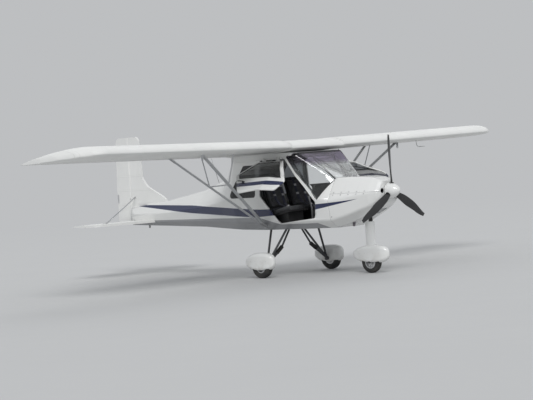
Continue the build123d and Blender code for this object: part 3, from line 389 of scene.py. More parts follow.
# %% [markdown]
# ## Rubber, plastic and seat cloth
# Tyres are dull and a little dusty, moulded plastic has a fine pebble, and the fuel tank is a milky blow
# moulding that lets some light into itself. Seat cloth is woven, so its bump is crossed waves, and a little
# sheen stands for the fibres at its edges.

# %% Rubber, plastics and cloth
rubber = Finish("tyre_rubber", (0.018, 0.018, 0.019), (0.055, 0.052, 0.046), (0.62, 0.85), 7, 500, 0.3)
tyre_rubber = rubber.done(0.0004)
plastic = Finish("black_plastic", (0.016, 0.016, 0.017), (0.03, 0.03, 0.031), (0.42, 0.6), 8, 900, 0.35)
black_plastic = plastic.done(0.0003)
milky = Finish("tank_plastic", (0.66, 0.67, 0.60), (0.58, 0.58, 0.50), (0.35, 0.5), 6, 260, 0.15)
milky.set("Subsurface Weight", 0.25)
milky.set("Subsurface Radius", (0.02, 0.02, 0.015))
tank_plastic = milky.done(0.0004)
blade_paint = Finish("propeller_black", (0.014, 0.014, 0.015), (0.026, 0.026, 0.027), (0.34, 0.44), 4, 120,
                     0.02)
gloss(blade_paint, 0.25)
propeller_black = blade_paint.done(0.0003)


def woven(name, colour, marked, threads=420.0, sheen=0.3):
    """Woven cloth with crossed threads."""
    finish = Finish(name, colour, marked, (0.8, 0.95), patch=9, grain=800, relief=0.6)
    finish.weave("XYZ", threads / 3, 0.6)
    worn = finish.ramp(finish.height, 1.2, 2.4, 0.0, 0.5)
    finish.paint(worn, tuple(min(1.0, c * 1.8 + 0.01) for c in colour))
    finish.set("Sheen Weight", sheen)
    return finish.done(0.0008)


seat_cloth = woven("seat_cloth_charcoal", (0.030, 0.031, 0.034), (0.045, 0.046, 0.050))
strap_web = woven("strap_webbing", (0.020, 0.024, 0.045), (0.03, 0.034, 0.06), threads=900.0, sheen=0.15)
print(tyre_rubber.name, black_plastic.name, seat_cloth.name)

# %% [markdown]
# ## Finishes onto the imported solids
# The imported solids keep their shapes and places; only their material slots change. The table names, for each
# finish, the solids that wear it.

# %% Assigning the finishes
WORN_BY = {
    gel_coat_body: ("upper_cowl", "lower_cowl", "cabin_shell", "rear_fuselage"),
    gel_coat_door: ("door_port", "door_starboard"),
    gel_coat_plain: ("main_spats", "nose_spat", "nose_leg_fairing", "spinner"),
    wing_cloth: ("wing_centre", "wing_panels", "aileron_port", "aileron_starboard", "flap_port",
                 "flap_starboard"),
    tail_cloth: ("tailplane", "elevator"),
    fin_cloth: ("fin", "rudder"),
    clear_screen: ("windscreen",),
    smoked_pane: ("door_pane_port", "door_pane_starboard", "rear_windows"),
    metals["frame_tube"]: ("cabin_frame", "engine_mount", "main_gear", "nose_leg"),
    metals["strut_aluminium"]: ("lift_struts", "tail_braces"),
    metals["bare_aluminium"]: ("firewall", "radiator"),
    metals["bare_steel"]: ("flight_controls",),
    metals["engine_metal"]: ("engine",),
    metals["rod_chrome"]: ("gas_rod_port", "gas_rod_starboard"),
    metals["rim_metal"]: ("nose_rim", "port_rim", "starboard_rim"),
    exhaust_steel: ("exhaust_pipe",),
    tyre_rubber: ("nose_tyre", "port_tyre", "starboard_tyre"),
    black_plastic: ("instrument_panel", "seats", "gas_cylinder_port", "gas_cylinder_starboard"),
    seat_cloth: ("seat_cushions",),
    tank_plastic: ("fuel_tank",),
    propeller_black: ("propeller",),
}
for finish, names in WORN_BY.items():
    for name in names:
        nodes[name].data.materials.clear()
        nodes[name].data.materials.append(finish)
bare = sorted(set(nodes) - {name for names in WORN_BY.values() for name in names})
print("solids without a finish:", bare)

steel, aluminium = metals["bare_steel"], metals["bare_aluminium"]

# %% [markdown]
# ## A small bench of modelling tools
# The fittings are made of few kinds of shape: round rods, rings, blocks with broken edges, bolts and bent
# strips. Each is a short function that adds its shape to a bmesh, so one fitting can be built of several.
# The last function turns the bmesh into an object that rides on a body of the aeroplane.

# %% Rods, rings, blocks and bolts
X, Y, Z = Vector((1, 0, 0)), Vector((0, 1, 0)), Vector((0, 0, 1))
SIDES = {"port": 1, "starboard": -1}


def turned_to(axis):
    """Rotation that turns the Z axis to the given direction."""
    return Vector(axis).to_track_quat("Z", "Y").to_matrix().to_4x4()


def spokes(count, first, second, start=0):
    """Directions spread evenly round a circle, from the first axis towards the second."""
    for k in range(count):
        turn = math.radians(start + 360 / count * k)
        yield first * math.cos(turn) + second * math.sin(turn)


def rod(bm, start, end, radius, end_radius=None, sides=16):
    """Round rod or cone between two points."""
    start, end = Vector(start), Vector(end)
    matrix = Matrix.Translation((start + end) / 2) @ turned_to(end - start)
    tip = radius if end_radius is None else end_radius
    bmesh.ops.create_cone(bm, cap_ends=True, segments=sides, radius1=radius, radius2=tip,
                          depth=(end - start).length, matrix=matrix)


def ring(bm, centre, axis, radius, thick, steps=32, sides=8):
    """Round-section ring: a small circle spun about the axis."""
    stand = Matrix.Translation(centre) @ turned_to(axis)
    lie = Matrix.Translation((radius, 0, 0)) @ Matrix.Rotation(math.pi / 2, 4, "X")
    circle = bmesh.ops.create_circle(bm, segments=sides, radius=thick, matrix=stand @ lie)["verts"]
    edges = list(dict.fromkeys(edge for vert in circle for edge in vert.link_edges))
    bmesh.ops.spin(bm, geom=circle + edges, cent=centre, axis=stand.to_3x3() @ Z,
                   angle=2 * math.pi, steps=steps, use_merge=True)


def slab(bm, centre, size, soften=0.001, turn=Matrix()):
    """Block with broken edges, turned if a rotation is given."""
    matrix = Matrix.Translation(centre) @ turn @ Matrix.Diagonal((*size, 1))
    verts = bmesh.ops.create_cube(bm, size=1, matrix=matrix)["verts"]
    edges = list(dict.fromkeys(edge for vert in verts for edge in vert.link_edges))
    if soften:
        bmesh.ops.bevel(bm, geom=edges, offset=soften, affect="EDGES", segments=2, profile=0.5, material=-1)


def bolt(bm, place, axis, across=0.010):
    """Hexagon head on a washer, with the end of its thread."""
    place, axis = Vector(place), Vector(axis).normalized()
    rod(bm, place - axis * 0.001, place + axis * 0.0012, across * 0.95, sides=16)
    rod(bm, place + axis * 0.001, place + axis * across * 0.62, across * 0.56, sides=6)
    rod(bm, place + axis * across * 0.6, place + axis * across * 0.85, across * 0.32, sides=10)


def strip(bm, points, side, width, thick):
    """Flat strip bent along points: an edge across it, extruded from point to point."""
    half = Vector(side).normalized() * width / 2
    ends = [bm.verts.new(Vector(points[0]) + half), bm.verts.new(Vector(points[0]) - half)]
    edge = bm.edges.new(ends)
    faces = []
    for last, point in zip(points[:-1], points[1:]):
        made = bmesh.ops.extrude_edge_only(bm, edges=[edge])["geom"]
        verts = [g for g in made if isinstance(g, bmesh.types.BMVert)]
        bmesh.ops.translate(bm, verts=verts, vec=Vector(point) - Vector(last))
        edge = next(g for g in made if isinstance(g, bmesh.types.BMEdge))
        faces += [g for g in made if isinstance(g, bmesh.types.BMFace)]
    bmesh.ops.recalc_face_normals(bm, faces=faces)
    bmesh.ops.solidify(bm, geom=faces, thickness=thick)


def on_side(point, side):
    """The point of the port side, or its mirror image on the starboard side."""
    return Vector((point[0], point[1] * side, point[2]))


def make_piece(name, bm, body, material, crease=35):
    """Mesh object from a bmesh, with its finish, riding on a body."""
    bmesh.ops.recalc_face_normals(bm, faces=bm.faces)
    mesh = bpy.data.meshes.new(name)
    bm.to_mesh(mesh)
    bm.free()
    mesh.shade_smooth()
    mesh.set_sharp_from_angle(angle=math.radians(crease))
    mesh.materials.append(material)
    piece = bpy.data.objects.new(name, mesh)
    scene.collection.objects.link(piece)
    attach(piece, body)
    print(name, len(mesh.polygons), "faces on", body)
    return piece


# %% [markdown]
# A pipe or a rubber moulding follows a line, so it starts as a curve with a round bevel, which is then
# converted to a mesh. Bolts on a curved skin need the skin's exact height and direction there. A ray that
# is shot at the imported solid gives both.

# %% Pipes along a line, and points on a skin
def pipe(bm, points, radius, closed=False, smooth=True, sides=3):
    """Round pipe along points, added to a bmesh."""
    data = bpy.data.curves.new("pipe_line", "CURVE")
    data.dimensions = "3D"
    data.bevel_depth = radius
    data.bevel_resolution = sides
    data.resolution_u = 6
    data.use_fill_caps = not closed
    line = data.splines.new("NURBS" if smooth else "POLY")
    line.points.add(len(points) - 1)
    for spot, point in zip(line.points, points):
        spot.co = (*point, 1)
    line.use_cyclic_u = closed
    if smooth:
        line.order_u = 3
        line.use_endpoint_u = not closed
    carrier = bpy.data.objects.new("pipe_line", data)
    scene.collection.objects.link(carrier)
    mesh = bpy.data.meshes.new_from_object(carrier.evaluated_get(bpy.context.evaluated_depsgraph_get()))
    bm.from_mesh(mesh)
    bpy.data.objects.remove(carrier)
    bpy.data.meshes.remove(mesh)


skins = {}


def on_skin(name, start, direction):
    """First point of a solid's skin along a ray, and the way the skin faces there."""
    if name not in skins:
        mesh = nodes[name].data
        skins[name] = BVHTree.FromPolygons([v.co for v in mesh.vertices], [p.vertices for p in mesh.polygons])
    place, normal, _, _ = skins[name].ray_cast(Vector(start), Vector(direction))
    if place is None:
        raise ValueError(f"the ray from {tuple(start)} misses {name}")
    return place, normal


def merged_copy(name):
    """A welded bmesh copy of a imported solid."""
    bm = bmesh.new()
    bm.from_mesh(nodes[name].data)
    bmesh.ops.remove_doubles(bm, verts=bm.verts, dist=1e-5)
    return bm


print("bench ready")

# %% [markdown]
# ## Fair skins
# A moulded skin has no corner where one station's frame ends and the next begins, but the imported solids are
# drawn in straight runs, and their triangles are loose, so each run catches the light by itself. A welded
# copy can share its normals across the runs. The Weighted Normal modifier lets large faces count for more,
# so flat sides stay flat and only the turns are rounded. Edges sharper than the limit, as round every
# opening, stay crisp.

# %% Welded copies with normals shared across the runs
FAIR_SKINS = (
    # solid, body, finish
    ("upper_cowl", "airframe", gel_coat_body),
    ("lower_cowl", "airframe", gel_coat_body),
    ("cabin_shell", "airframe", gel_coat_body),
    ("rear_fuselage", "airframe", gel_coat_body),
    ("door_port", "port_door", gel_coat_door),
    ("door_starboard", "starboard_door", gel_coat_door),
    ("wing_panels", "airframe", wing_cloth),
    ("main_spats", "airframe", gel_coat_plain),
    ("nose_spat", "nose_gear", gel_coat_plain),
)
for name, body, finish in FAIR_SKINS:
    skin = make_piece(f"{name}_skin", merged_copy(name), body, finish, crease=46)
    skin.modifiers.new("fair_normals", "WEIGHTED_NORMAL").keep_sharp = True
    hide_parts(name)

# %% [markdown]
# ## Cowling fasteners and doors
# A cowling comes off for every inspection, so its halves are held by quarter-turn studs: a dished washer
# with a slotted head, every hand's width along the joints. Rays shot at the cowling place them, so they sit
# flush on its curve.

# %% Quarter-turn studs along the cowling joints
def stud(bm, place, normal, size=0.009):
    """Slotted stud head in a dished washer."""
    ring(bm, place, normal, size, 0.0012, steps=16, sides=6)
    rod(bm, place - normal * 0.001, place + normal * 0.0016, size * 0.72, sides=14)
    slab(bm, place + normal * 0.0018, (size * 1.2, size * 0.2, 0.0010), 0, turned_to(normal))


STUD_ROWS = (
    # cowl half, height beside the joint, middle of the rear frame, way up or down, angles round the frame
    ("upper_cowl", 1.243, 1.2, 1, (-50, -30, -10, 10, 30, 50)),
    ("lower_cowl", 1.205, 1.1, -1, (-65, -40, -15, 15, 40, 65)),
)
STUD_FRAME_X = 2.135
studs = bmesh.new()
for name, height, middle, way, angles in STUD_ROWS:
    for side in SIDES.values():
        for x in (2.17, 2.30, 2.43, 2.56, 2.68):
            stud(studs, *on_skin(name, (x, side, height), -side * Y))
    for angle in angles:
        lean = math.radians(angle)
        inward = -Vector((0, math.sin(lean), way * math.cos(lean)))
        stud(studs, *on_skin(name, Vector((STUD_FRAME_X, 0, middle)) - 1.5 * inward, inward))
make_piece("cowl_studs", studs, "airframe", steel)

# %% [markdown]
# ## Painted shade in the cabin: a dark lining
# Seen through the open doors, the cabin is black with shade. That shade is painted: a thin dark woven sheet
# lines the walls. The lining is made from the shell itself. A welded copy keeps only the faces that look
# inward, moves them off the wall by a millimetre and gets a thickness, so it follows every curve and stops at
# every opening.

# %% Lining from the inward faces
# Painted shade: a dark woven sheet over the cabin walls stands for the shade inside the cabin.
shade_lining = woven("painted_shade_lining", (0.020, 0.020, 0.022), (0.032, 0.032, 0.034), threads=240.0, sheen=0.1)
LINING_CLEARANCE, LINING_THICK = 0.0012, 0.0025
CABIN_MIDDLE_Z = 1.25
LEAST_INWARD = 0.55  # cosine of the most that a face may turn away from the cabin's middle line

bm = merged_copy("cabin_shell")
outward = []
for face in bm.faces:
    middle = face.calc_center_median()
    inward = Vector((0, -middle.y, CABIN_MIDDLE_Z - middle.z)).normalized()
    if face.normal.dot(inward) < LEAST_INWARD:
        outward.append(face)
bmesh.ops.delete(bm, geom=outward, context="FACES")
for vert in bm.verts:
    vert.normal_update()
for vert in bm.verts:
    vert.co += vert.normal * (LINING_CLEARANCE + LINING_THICK)
bmesh.ops.solidify(bm, geom=bm.faces, thickness=LINING_THICK)
make_piece("cabin_shade_lining", bm, "airframe", shade_lining)

# %% [markdown]
# ## Seat cushions
# A cushion is foam in a sewn cover: it bulges between its edges. Cloth simulation does this well. Each
# cushion starts as a welded copy of its solid, a little smaller, is remeshed into even cells, and is blown up
# slightly with pressure while no point may travel far. The sewn channels come after that, pressed into the
# swollen surface, because the remesh would erase them.

# %% Simulating the cushions
CUSHION_CELL = 0.008
CUSHION_SHRINK = 0.005
CUSHION_SWELL = 0.011


def islands(bm):
    """Loose parts of a bmesh, each as a list of its vertices."""
    left, found = dict.fromkeys(bm.verts), []
    while left:
        first = next(iter(left))
        del left[first]
        reach, part = [first], []
        while reach:
            vert = reach.pop()
            part.append(vert)
            for edge in vert.link_edges:
                other = edge.other_vert(vert)
                if other in left:
                    del left[other]
                    reach.append(other)
        found.append(part)
    return found


def swollen(piece):
    """Blows the piece up as a closed cloth, and caps how far each point moves."""
    start = [vert.co.copy() for vert in piece.data.vertices]
    cloth = piece.modifiers.new("cloth", "CLOTH")
    cloth.settings.quality = 5
    cloth.settings.mass = 0.3
    cloth.settings.tension_stiffness = 40
    cloth.settings.compression_stiffness = 40
    cloth.settings.bending_stiffness = 4
    cloth.settings.use_pressure = True
    cloth.settings.uniform_pressure_force = 4
    cloth.settings.effector_weights.gravity = 0
    for moment in range(1, 21):
        scene.frame_set(moment)
    view = piece.evaluated_get(bpy.context.evaluated_depsgraph_get())
    ends = [vert.co.copy() for vert in view.data.vertices]
    piece.modifiers.remove(cloth)
    scene.frame_set(1)
    for vert, old, new in zip(piece.data.vertices, start, ends):
        move = new - old
        vert.co = old + move * min(1.0, CUSHION_SWELL / max(move.length, 1e-9))


def middle_of(verts):
    """Middle of the box round some vertices, in whole millimetres, so that parts can be sorted by it."""
    spans = [[vert.co[k] for vert in verts] for k in range(3)]
    return tuple(round((min(span) + max(span)) / 2, 3) for span in spans)


def cushion(name, part_index):
    """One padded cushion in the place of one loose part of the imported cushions."""
    bm = merged_copy("seat_cushions")
    part = set(sorted(islands(bm), key=middle_of)[part_index])
    bmesh.ops.delete(bm, geom=[vert for vert in bm.verts if vert not in part], context="VERTS")
    for vert in bm.verts:
        vert.normal_update()
    for vert in bm.verts:
        vert.co -= vert.normal * CUSHION_SHRINK
    mesh = bpy.data.meshes.new(name)
    bm.to_mesh(mesh)
    bm.free()
    piece = bpy.data.objects.new(name, mesh)
    scene.collection.objects.link(piece)
    remesh = piece.modifiers.new("cells", "REMESH")
    remesh.mode = "VOXEL"
    remesh.voxel_size = CUSHION_CELL
    view = piece.evaluated_get(bpy.context.evaluated_depsgraph_get())
    piece.data = bpy.data.meshes.new_from_object(view)
    piece.modifiers.clear()
    swollen(piece)
    return piece


def sewn(piece, along, face_way, spacing=0.068, depth=0.0055, width=0.0055):
    """Subdivides the cushion once and presses sewn channels across the face that carries the sitter."""
    bm = bmesh.new()
    bm.from_mesh(piece.data)
    bmesh.ops.subdivide_edges(bm, edges=bm.edges, cuts=1, use_grid_fill=True, smooth=0.0)
    bmesh.ops.smooth_vert(bm, verts=bm.verts, factor=0.5, use_axis_x=True, use_axis_y=True, use_axis_z=True)
    places = [vert.co.dot(along) for vert in bm.verts]
    middle = (min(places) + max(places)) / 2
    lines = [middle + spacing * k for k in (-2, -1, 0, 1, 2)]
    for vert, spot in zip(bm.verts, places):
        if vert.normal.dot(face_way) > 0.35:
            near = min(abs(spot - line) for line in lines)
            vert.co -= face_way * depth * math.exp(-((near / width) ** 2))
    bm.to_mesh(piece.data)
    bm.free()
    piece.data.shade_smooth()
    piece.data.materials.clear()
    piece.data.materials.append(seat_cloth)
    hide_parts("seat_cushions")
    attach(piece, "airframe")
    print(piece.name, len(piece.data.polygons), "faces")


# the way out along the pan and the way up the back, and the ways that their cushions face
PAN_RUN = Vector((390, 0, 75)).normalized()
BACK_RUN = Vector((-177, 0, 567)).normalized()
PAN_UP = Vector((-PAN_RUN.z, 0, PAN_RUN.x))
BACK_OUT = Vector((BACK_RUN.z, 0, -BACK_RUN.x))
CUSHIONS = (
    # name, place among the loose parts sorted by X then Y, direction of its length, direction it faces
    ("back_cushion_starboard", 0, BACK_RUN, BACK_OUT),
    ("back_cushion_port", 1, BACK_RUN, BACK_OUT),
    ("seat_cushion_starboard", 2, PAN_RUN, PAN_UP),
    ("seat_cushion_port", 3, PAN_RUN, PAN_UP),
)
for name, index, along, face_way in CUSHIONS:
    sewn(cushion(name, index), along, face_way)

# %% [markdown]
# ## Seat harness
# Each seat has a four-point harness: two lap straps from the seat's corners and two shoulder straps down
# the backrest, meeting in one buckle. Webbing is flat, so it is an edge extruded along a few points and given
# two millimetres of thickness.

# %% Straps and buckles
SEAT_CORNER = Vector((0.905, 0, 0.937))
SEAT_Y = 0.262


def on_seat(out, up_back, across, side):
    """Point at the seat: a way out along the pan, a way up the back and a way across."""
    return SEAT_CORNER + PAN_RUN * out + BACK_RUN * up_back + Vector((0, side * SEAT_Y + across, 0))


LAP_LINE = (
    # out along the pan, across, off the pan
    (0.03, 0.212, 0.030), (0.06, 0.205, 0.084), (0.13, 0.15, 0.091), (0.19, 0.04, 0.092),
)
SHOULDER_LINE = (
    # up the back, across, off the back
    (0.60, 0.10, 0.004), (0.585, 0.10, 0.045), (0.53, 0.10, 0.084), (0.40, 0.095, 0.088),
    (0.24, 0.085, 0.086),
)
SHOULDER_END = (
    # out along the pan, up the back, across, off the pan
    (0.10, 0.13, 0.06, 0.03), (0.16, 0.03, 0.035, 0.075), (0.19, 0, 0.022, 0.092),
)
WEBBING = (0.045, 0.002)  # width and thickness

for side_name, side in SIDES.items():
    straps, buckle = bmesh.new(), bmesh.new()
    for way in (-1, 1):
        lap = [on_seat(out, 0, way * across, side) + PAN_UP * off for out, across, off in LAP_LINE]
        strip(straps, lap, X, *WEBBING)
        shoulder = [on_seat(0, up, way * across, side) + BACK_OUT * off for up, across, off in SHOULDER_LINE]
        for out, up, across, off in SHOULDER_END:
            shoulder.append(on_seat(out, up, way * across, side) + PAN_UP * off)
        strip(straps, shoulder, Y, *WEBBING)
    make_piece(f"harness_{side_name}", straps, "airframe", strap_web)
    buckle_at = on_seat(0.20, 0, 0, side) + PAN_UP * 0.092
    rod(buckle, buckle_at, buckle_at + PAN_UP * 0.012, 0.032, 0.028, 28)
    rod(buckle, buckle_at + PAN_UP * 0.012, buckle_at + PAN_UP * 0.019, 0.021, 0.019, 28)
    slab(buckle, buckle_at + PAN_UP * 0.0205, (0.034, 0.008, 0.004), 0.001, turned_to(PAN_UP))
    for way in (-1, 1):
        for up in (0.30, 0.44):
            adjuster = on_seat(0, up, way * 0.093, side) + BACK_OUT * 0.092
            slab(buckle, adjuster, (0.056, 0.034, 0.003), 0.001, turned_to(BACK_OUT))
    make_piece(f"harness_buckle_{side_name}", buckle, "airframe", steel)

# %% [markdown]
# ## Instruments
# The panel carries round dials in two sizes, a row of switches, a radio and knobs. A dial is a black bezel
# ring, a recessed face with raised ticks round its edge, and a white needle. They are laid out in panel
# coordinates, across and up the sloping face, and placed by one function.

# %% Dials, switches and knobs on the panel
PANEL_FOOT = Vector((1.760, 0, 1.170))
PANEL_RUN = Vector((30, 0, 175)).normalized()
PANEL_WAY = Vector((-PANEL_RUN.z, 0, PANEL_RUN.x))
panel_turn = Matrix((-Y, PANEL_RUN, PANEL_WAY)).transposed().to_4x4()


def on_panel(across, rise, proud=0.0):
    """Point on the panel's sloping face."""
    return PANEL_FOOT + Y * across + PANEL_RUN * rise + PANEL_WAY * proud


dial_white = Finish("dial_white", (0.80, 0.80, 0.78), (0.74, 0.74, 0.72), (0.4, 0.5), 12, 300, 0.02).done()
bezels, faces, marks = bmesh.new(), bmesh.new(), bmesh.new()
DIALS = (
    # across, up the panel, radius, needle angle
    (0.325, 0.118, 0.040, 40), (0.225, 0.118, 0.040, 150), (0.125, 0.118, 0.040, 200),
    (0.325, 0.045, 0.029, 250), (0.245, 0.045, 0.029, 310), (0.165, 0.045, 0.029, 80),
    (-0.115, 0.122, 0.029, 20), (-0.185, 0.122, 0.029, 110), (-0.255, 0.122, 0.029, 230),
    (-0.325, 0.122, 0.029, 330),
)


def on_dial(across, rise, reach, turn, proud):
    """Point on the panel at a reach and an angle from a dial's middle."""
    return on_panel(across + reach * math.cos(turn), rise + reach * math.sin(turn), proud)


def mark(across, rise, reach, turn, proud, size):
    """White stroke that points away from a dial's middle."""
    spin = panel_turn @ Matrix.Rotation(math.pi - turn, 4, "Z")
    slab(marks, on_dial(across, rise, reach, turn, proud), (*size, 0.0006), 0, spin)


for across, rise, radius, needle in DIALS:
    ring(bezels, on_panel(across, rise, 0.002), PANEL_WAY, radius, 0.0035, 36)
    rod(faces, on_panel(across, rise, 0.0002), on_panel(across, rise, 0.0014), radius - 0.001, sides=36)
    for tick in range(12):
        mark(across, rise, 0.80 * radius, math.radians(30 * tick), 0.0018, (radius * 0.16, 0.0016))
    mark(across, rise, 0.3 * radius, math.radians(needle), 0.0026, (radius * 0.75, 0.0022))
    rod(marks, on_panel(across, rise, 0.0014), on_panel(across, rise, 0.0034), 0.0035, sides=12)
    for corner in range(4):
        spot = on_dial(across, rise, radius + 0.0075, math.radians(45 + 90 * corner), 0.0005)
        rod(bezels, spot, spot + PANEL_WAY * 0.0015, 0.0022, sides=8)
slab(bezels, on_panel(0.0, 0.128, 0.003), (0.140, 0.042, 0.007), 0.002, panel_turn)
slab(faces, on_panel(0.0, 0.132, 0.0068), (0.085, 0.018, 0.0012), 0, panel_turn)
for across in (-0.055, 0.055):
    rod(bezels, on_panel(across, 0.120, 0.006), on_panel(across, 0.120, 0.018), 0.007, 0.006, 20)
for k in range(6):
    across = -0.11 - 0.042 * k
    rod(marks, on_panel(across, 0.05, 0), on_panel(across, 0.05, 0.003), 0.0055, sides=12)
    rod(marks, on_panel(across, 0.05, 0.003), on_panel(across, 0.056, 0.016), 0.0022, 0.003, 10)
for across in (0.06, -0.06):
    rod(bezels, on_panel(across, 0.05, 0), on_panel(across, 0.05, 0.035), 0.004, sides=12)
    rod(bezels, on_panel(across, 0.05, 0.033), on_panel(across, 0.05, 0.047), 0.012, 0.010, 20)
make_piece("dial_bezels", bezels, "airframe", black_plastic)
make_piece("dial_faces", faces, "airframe", propeller_black)
make_piece("dial_marks", marks, "airframe", dial_white)

# %% [markdown]
# ## Controls in the cabin
# The stick has a moulded grip with finger ridges and a ribbed gaiter where it leaves the floor, and the pedal
# bars carry rubber sleeves. Ridges and ribs are rings along the part's own line.

# %% Stick grip, gaiter and pedal sleeves
grip = bmesh.new()
grip_low, grip_high = Vector((1.2885, 0, 1.196)), Vector((1.2695, 0, 1.279))
grip_run = (grip_high - grip_low).normalized()
for k in range(7):
    ring(grip, grip_low + grip_run * (0.008 + 0.011 * k), grip_run, 0.0178, 0.0042, steps=24)
rod(grip, grip_high, grip_high + grip_run * 0.008, 0.020, 0.015, 24)
rod(grip, grip_high + grip_run * 0.006, grip_high + grip_run * 0.012, 0.006, 0.005, 16)
stick_foot = Vector((1.3305, 0, 0.742))
for k in range(6):
    ring(grip, stick_foot + Vector((0.0008 * k, 0, 0.016 * k)), Z, 0.062 - 0.0082 * k, 0.010, steps=28)
for pedal in (0.170, 0.300, -0.170, -0.300):
    for k in range(-4, 5):
        ring(grip, (1.945, pedal + 0.0095 * k, 0.930), Y, 0.0115, 0.0038, steps=18)
make_piece("stick_grip_and_pads", grip, "airframe", tyre_rubber)

# %% [markdown]
# ## Gaskets round the panes
# Every pane sits in a black rubber moulding. Its line is the pane's own edge, which is already in the
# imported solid: on a welded copy, the edges where two faces meet sharply form closed loops. Walking each loop
# gives the points of a pipe.

# %% The sharp edges of a pane, and their gasket
def sharp_loops(name, least=1.0):
    """Closed chains of points along the sharp edges of a solid."""
    bm = merged_copy(name)
    edges = dict.fromkeys(e for e in bm.edges if len(e.link_faces) == 2 and e.calc_face_angle() > least)
    ends = {}
    for edge in edges:
        for vert in edge.verts:
            ends.setdefault(vert, []).append(edge)
    loops = []
    while edges:
        edge = next(iter(edges))
        del edges[edge]
        first, vert = edge.verts
        chain = [first.co.copy()]
        while vert is not first:
            chain.append(vert.co.copy())
            following = [e for e in ends[vert] if e in edges]
            if not following:
                break
            edge = following[0]
            del edges[edge]
            vert = edge.other_vert(vert)
        if len(chain) > 5:
            loops.append(chain)
    bm.free()
    return loops


def gasket(name, source, body, radius=0.0045):
    """Rubber moulding along the edges of a pane."""
    bm = bmesh.new()
    for loop in sharp_loops(source):
        pipe(bm, loop, radius, closed=True, smooth=False, sides=2)
    make_piece(name, bm, body, tyre_rubber)


gasket("windscreen_gasket", "windscreen", "airframe")
gasket("rear_window_gasket", "rear_windows", "airframe")
for side_name in SIDES:
    gasket(f"door_gasket_{side_name}", f"door_pane_{side_name}", f"{side_name}_door")

# %% [markdown]
# ## Doors
# The door's handles and rivets are laid out as if the door were shut, in a side view, because that is how a
# builder would mark it. One matrix per side then turns the ray that finds the door's skin to where the door
# stands open. No rivets go where the hinges are.

# %% Fittings on the open doors
def opened(side):
    """Matrix from the shut door to the open one."""
    hinge = Matrix.Translation((0, side * DOOR_HINGE_Y, DOOR_HINGE_Z))
    return hinge @ Matrix.Rotation(side * DOOR_OPEN, 4, "X") @ hinge.inverted()


def on_door(side_name, x, z, outer=True):
    """Point on the door's outer or inner skin under a place in the side view, and the way it faces."""
    side = SIDES[side_name]
    turn = opened(side)
    start = turn @ Vector((x, side * (1.0 if outer else 0.0), z))
    way = turn.to_3x3() @ Vector((0, -side if outer else side, 0))
    return on_skin(f"door_{side_name}", start, way)


DOOR_RIVET_LINE = (
    # X and Z in the side view of the shut door
    (1.320, 1.765), (1.845, 1.125), (1.815, 0.905), (1.165, 0.850), (0.828, 1.262), (0.828, 1.765),
)
DOOR_RIVET_PITCH = 0.085
DOOR_TOP_Z = 1.755
DOOR_HINGES_X = (0.94, 1.235)
HANDLE_PIVOT, HANDLE_END = (1.10, 1.06), (0.985, 1.075)


def spaced(corners, pitch):
    """Points along the straight runs round some corners, about a pitch apart."""
    corners = [Vector(corner) for corner in corners]
    points = []
    for start, end in zip(corners, corners[1:] + corners[:1]):
        count = max(1, round((end - start).length / pitch))
        points += [start.lerp(end, k / count) for k in range(count)]
    return points


def rivet(bm, place, normal, radius=0.0035):
    """Low domed rivet head."""
    rod(bm, place - normal * 0.0005, place + normal * 0.0008, radius, radius * 0.9, 10)
    rod(bm, place + normal * 0.0008, place + normal * 0.0016, radius * 0.9, radius * 0.45, 10)


for side_name in SIDES:
    rivets = bmesh.new()
    for x, z in spaced(DOOR_RIVET_LINE, DOOR_RIVET_PITCH):
        if z < DOOR_TOP_Z or all(abs(x - hinge) > 0.05 for hinge in DOOR_HINGES_X):
            rivet(rivets, *on_door(side_name, x, z))
    make_piece(f"door_rivets_{side_name}", rivets, f"{side_name}_door", aluminium)
    handle = bmesh.new()
    for outer in (True, False):
        pivot, face = on_door(side_name, *HANDLE_PIVOT, outer)
        end, _ = on_door(side_name, *HANDLE_END, outer)
        rod(handle, pivot - face * 0.001, pivot + face * 0.006, 0.026, 0.024, 24)
        rod(handle, pivot + face * 0.005, pivot + face * 0.024, 0.011, 0.010, 20)
        pipe(handle, [pivot + face * 0.020, pivot.lerp(end, 0.3) + face * 0.024, end + face * 0.022], 0.0072)
    make_piece(f"door_handle_{side_name}", handle, f"{side_name}_door", black_plastic)

# %% [markdown]
# The doorway has a bulb seal that the door closes on. Rays from inside the cabin find the inner wall a few
# millimetres outside the opening's edge, and a pipe follows them.

# %% Bulb seals round the doorways
DOORWAY_SEAL_LINE = (
    # X and Z, a few millimetres outside the doorway's corners
    (1.336, 1.803), (1.893, 1.122), (1.853, 0.868), (1.145, 0.806), (0.787, 1.245), (0.787, 1.803),
)
for side_name, side in SIDES.items():
    seal = bmesh.new()
    points = []
    for x, z in spaced(DOORWAY_SEAL_LINE, 0.05):
        place, normal = on_skin("cabin_shell", (x, 0, z), side * Y)
        points.append(place + normal * 0.005)
    pipe(seal, points, 0.0055, closed=True, smooth=False, sides=2)
    make_piece(f"doorway_seal_{side_name}", seal, "airframe", tyre_rubber)

# %% [markdown]
# ## Small things under and on the wing
# Round plastic rings let the inspector look inside the cloth. The pitot tube reads the air ahead of the port
# wing, and a whip aerial stands on the rear fuselage. Each starts from a point that a ray finds on the skin.

# %% Inspection rings, pitot tube and aerial
rings = bmesh.new()
for x in (1.10, 0.62):
    for y in (1.48, 2.80, 3.80, -1.48, -2.80, -3.80):
        place, normal = on_skin("wing_panels", (x, y, 1.0), Z)
        ring(rings, place, normal, 0.048, 0.0022, steps=36, sides=6)
        rod(rings, place - normal * 0.001, place + normal * 0.0012, 0.046, sides=36)
make_piece("inspection_rings", rings, "airframe", gel_coat_plain)

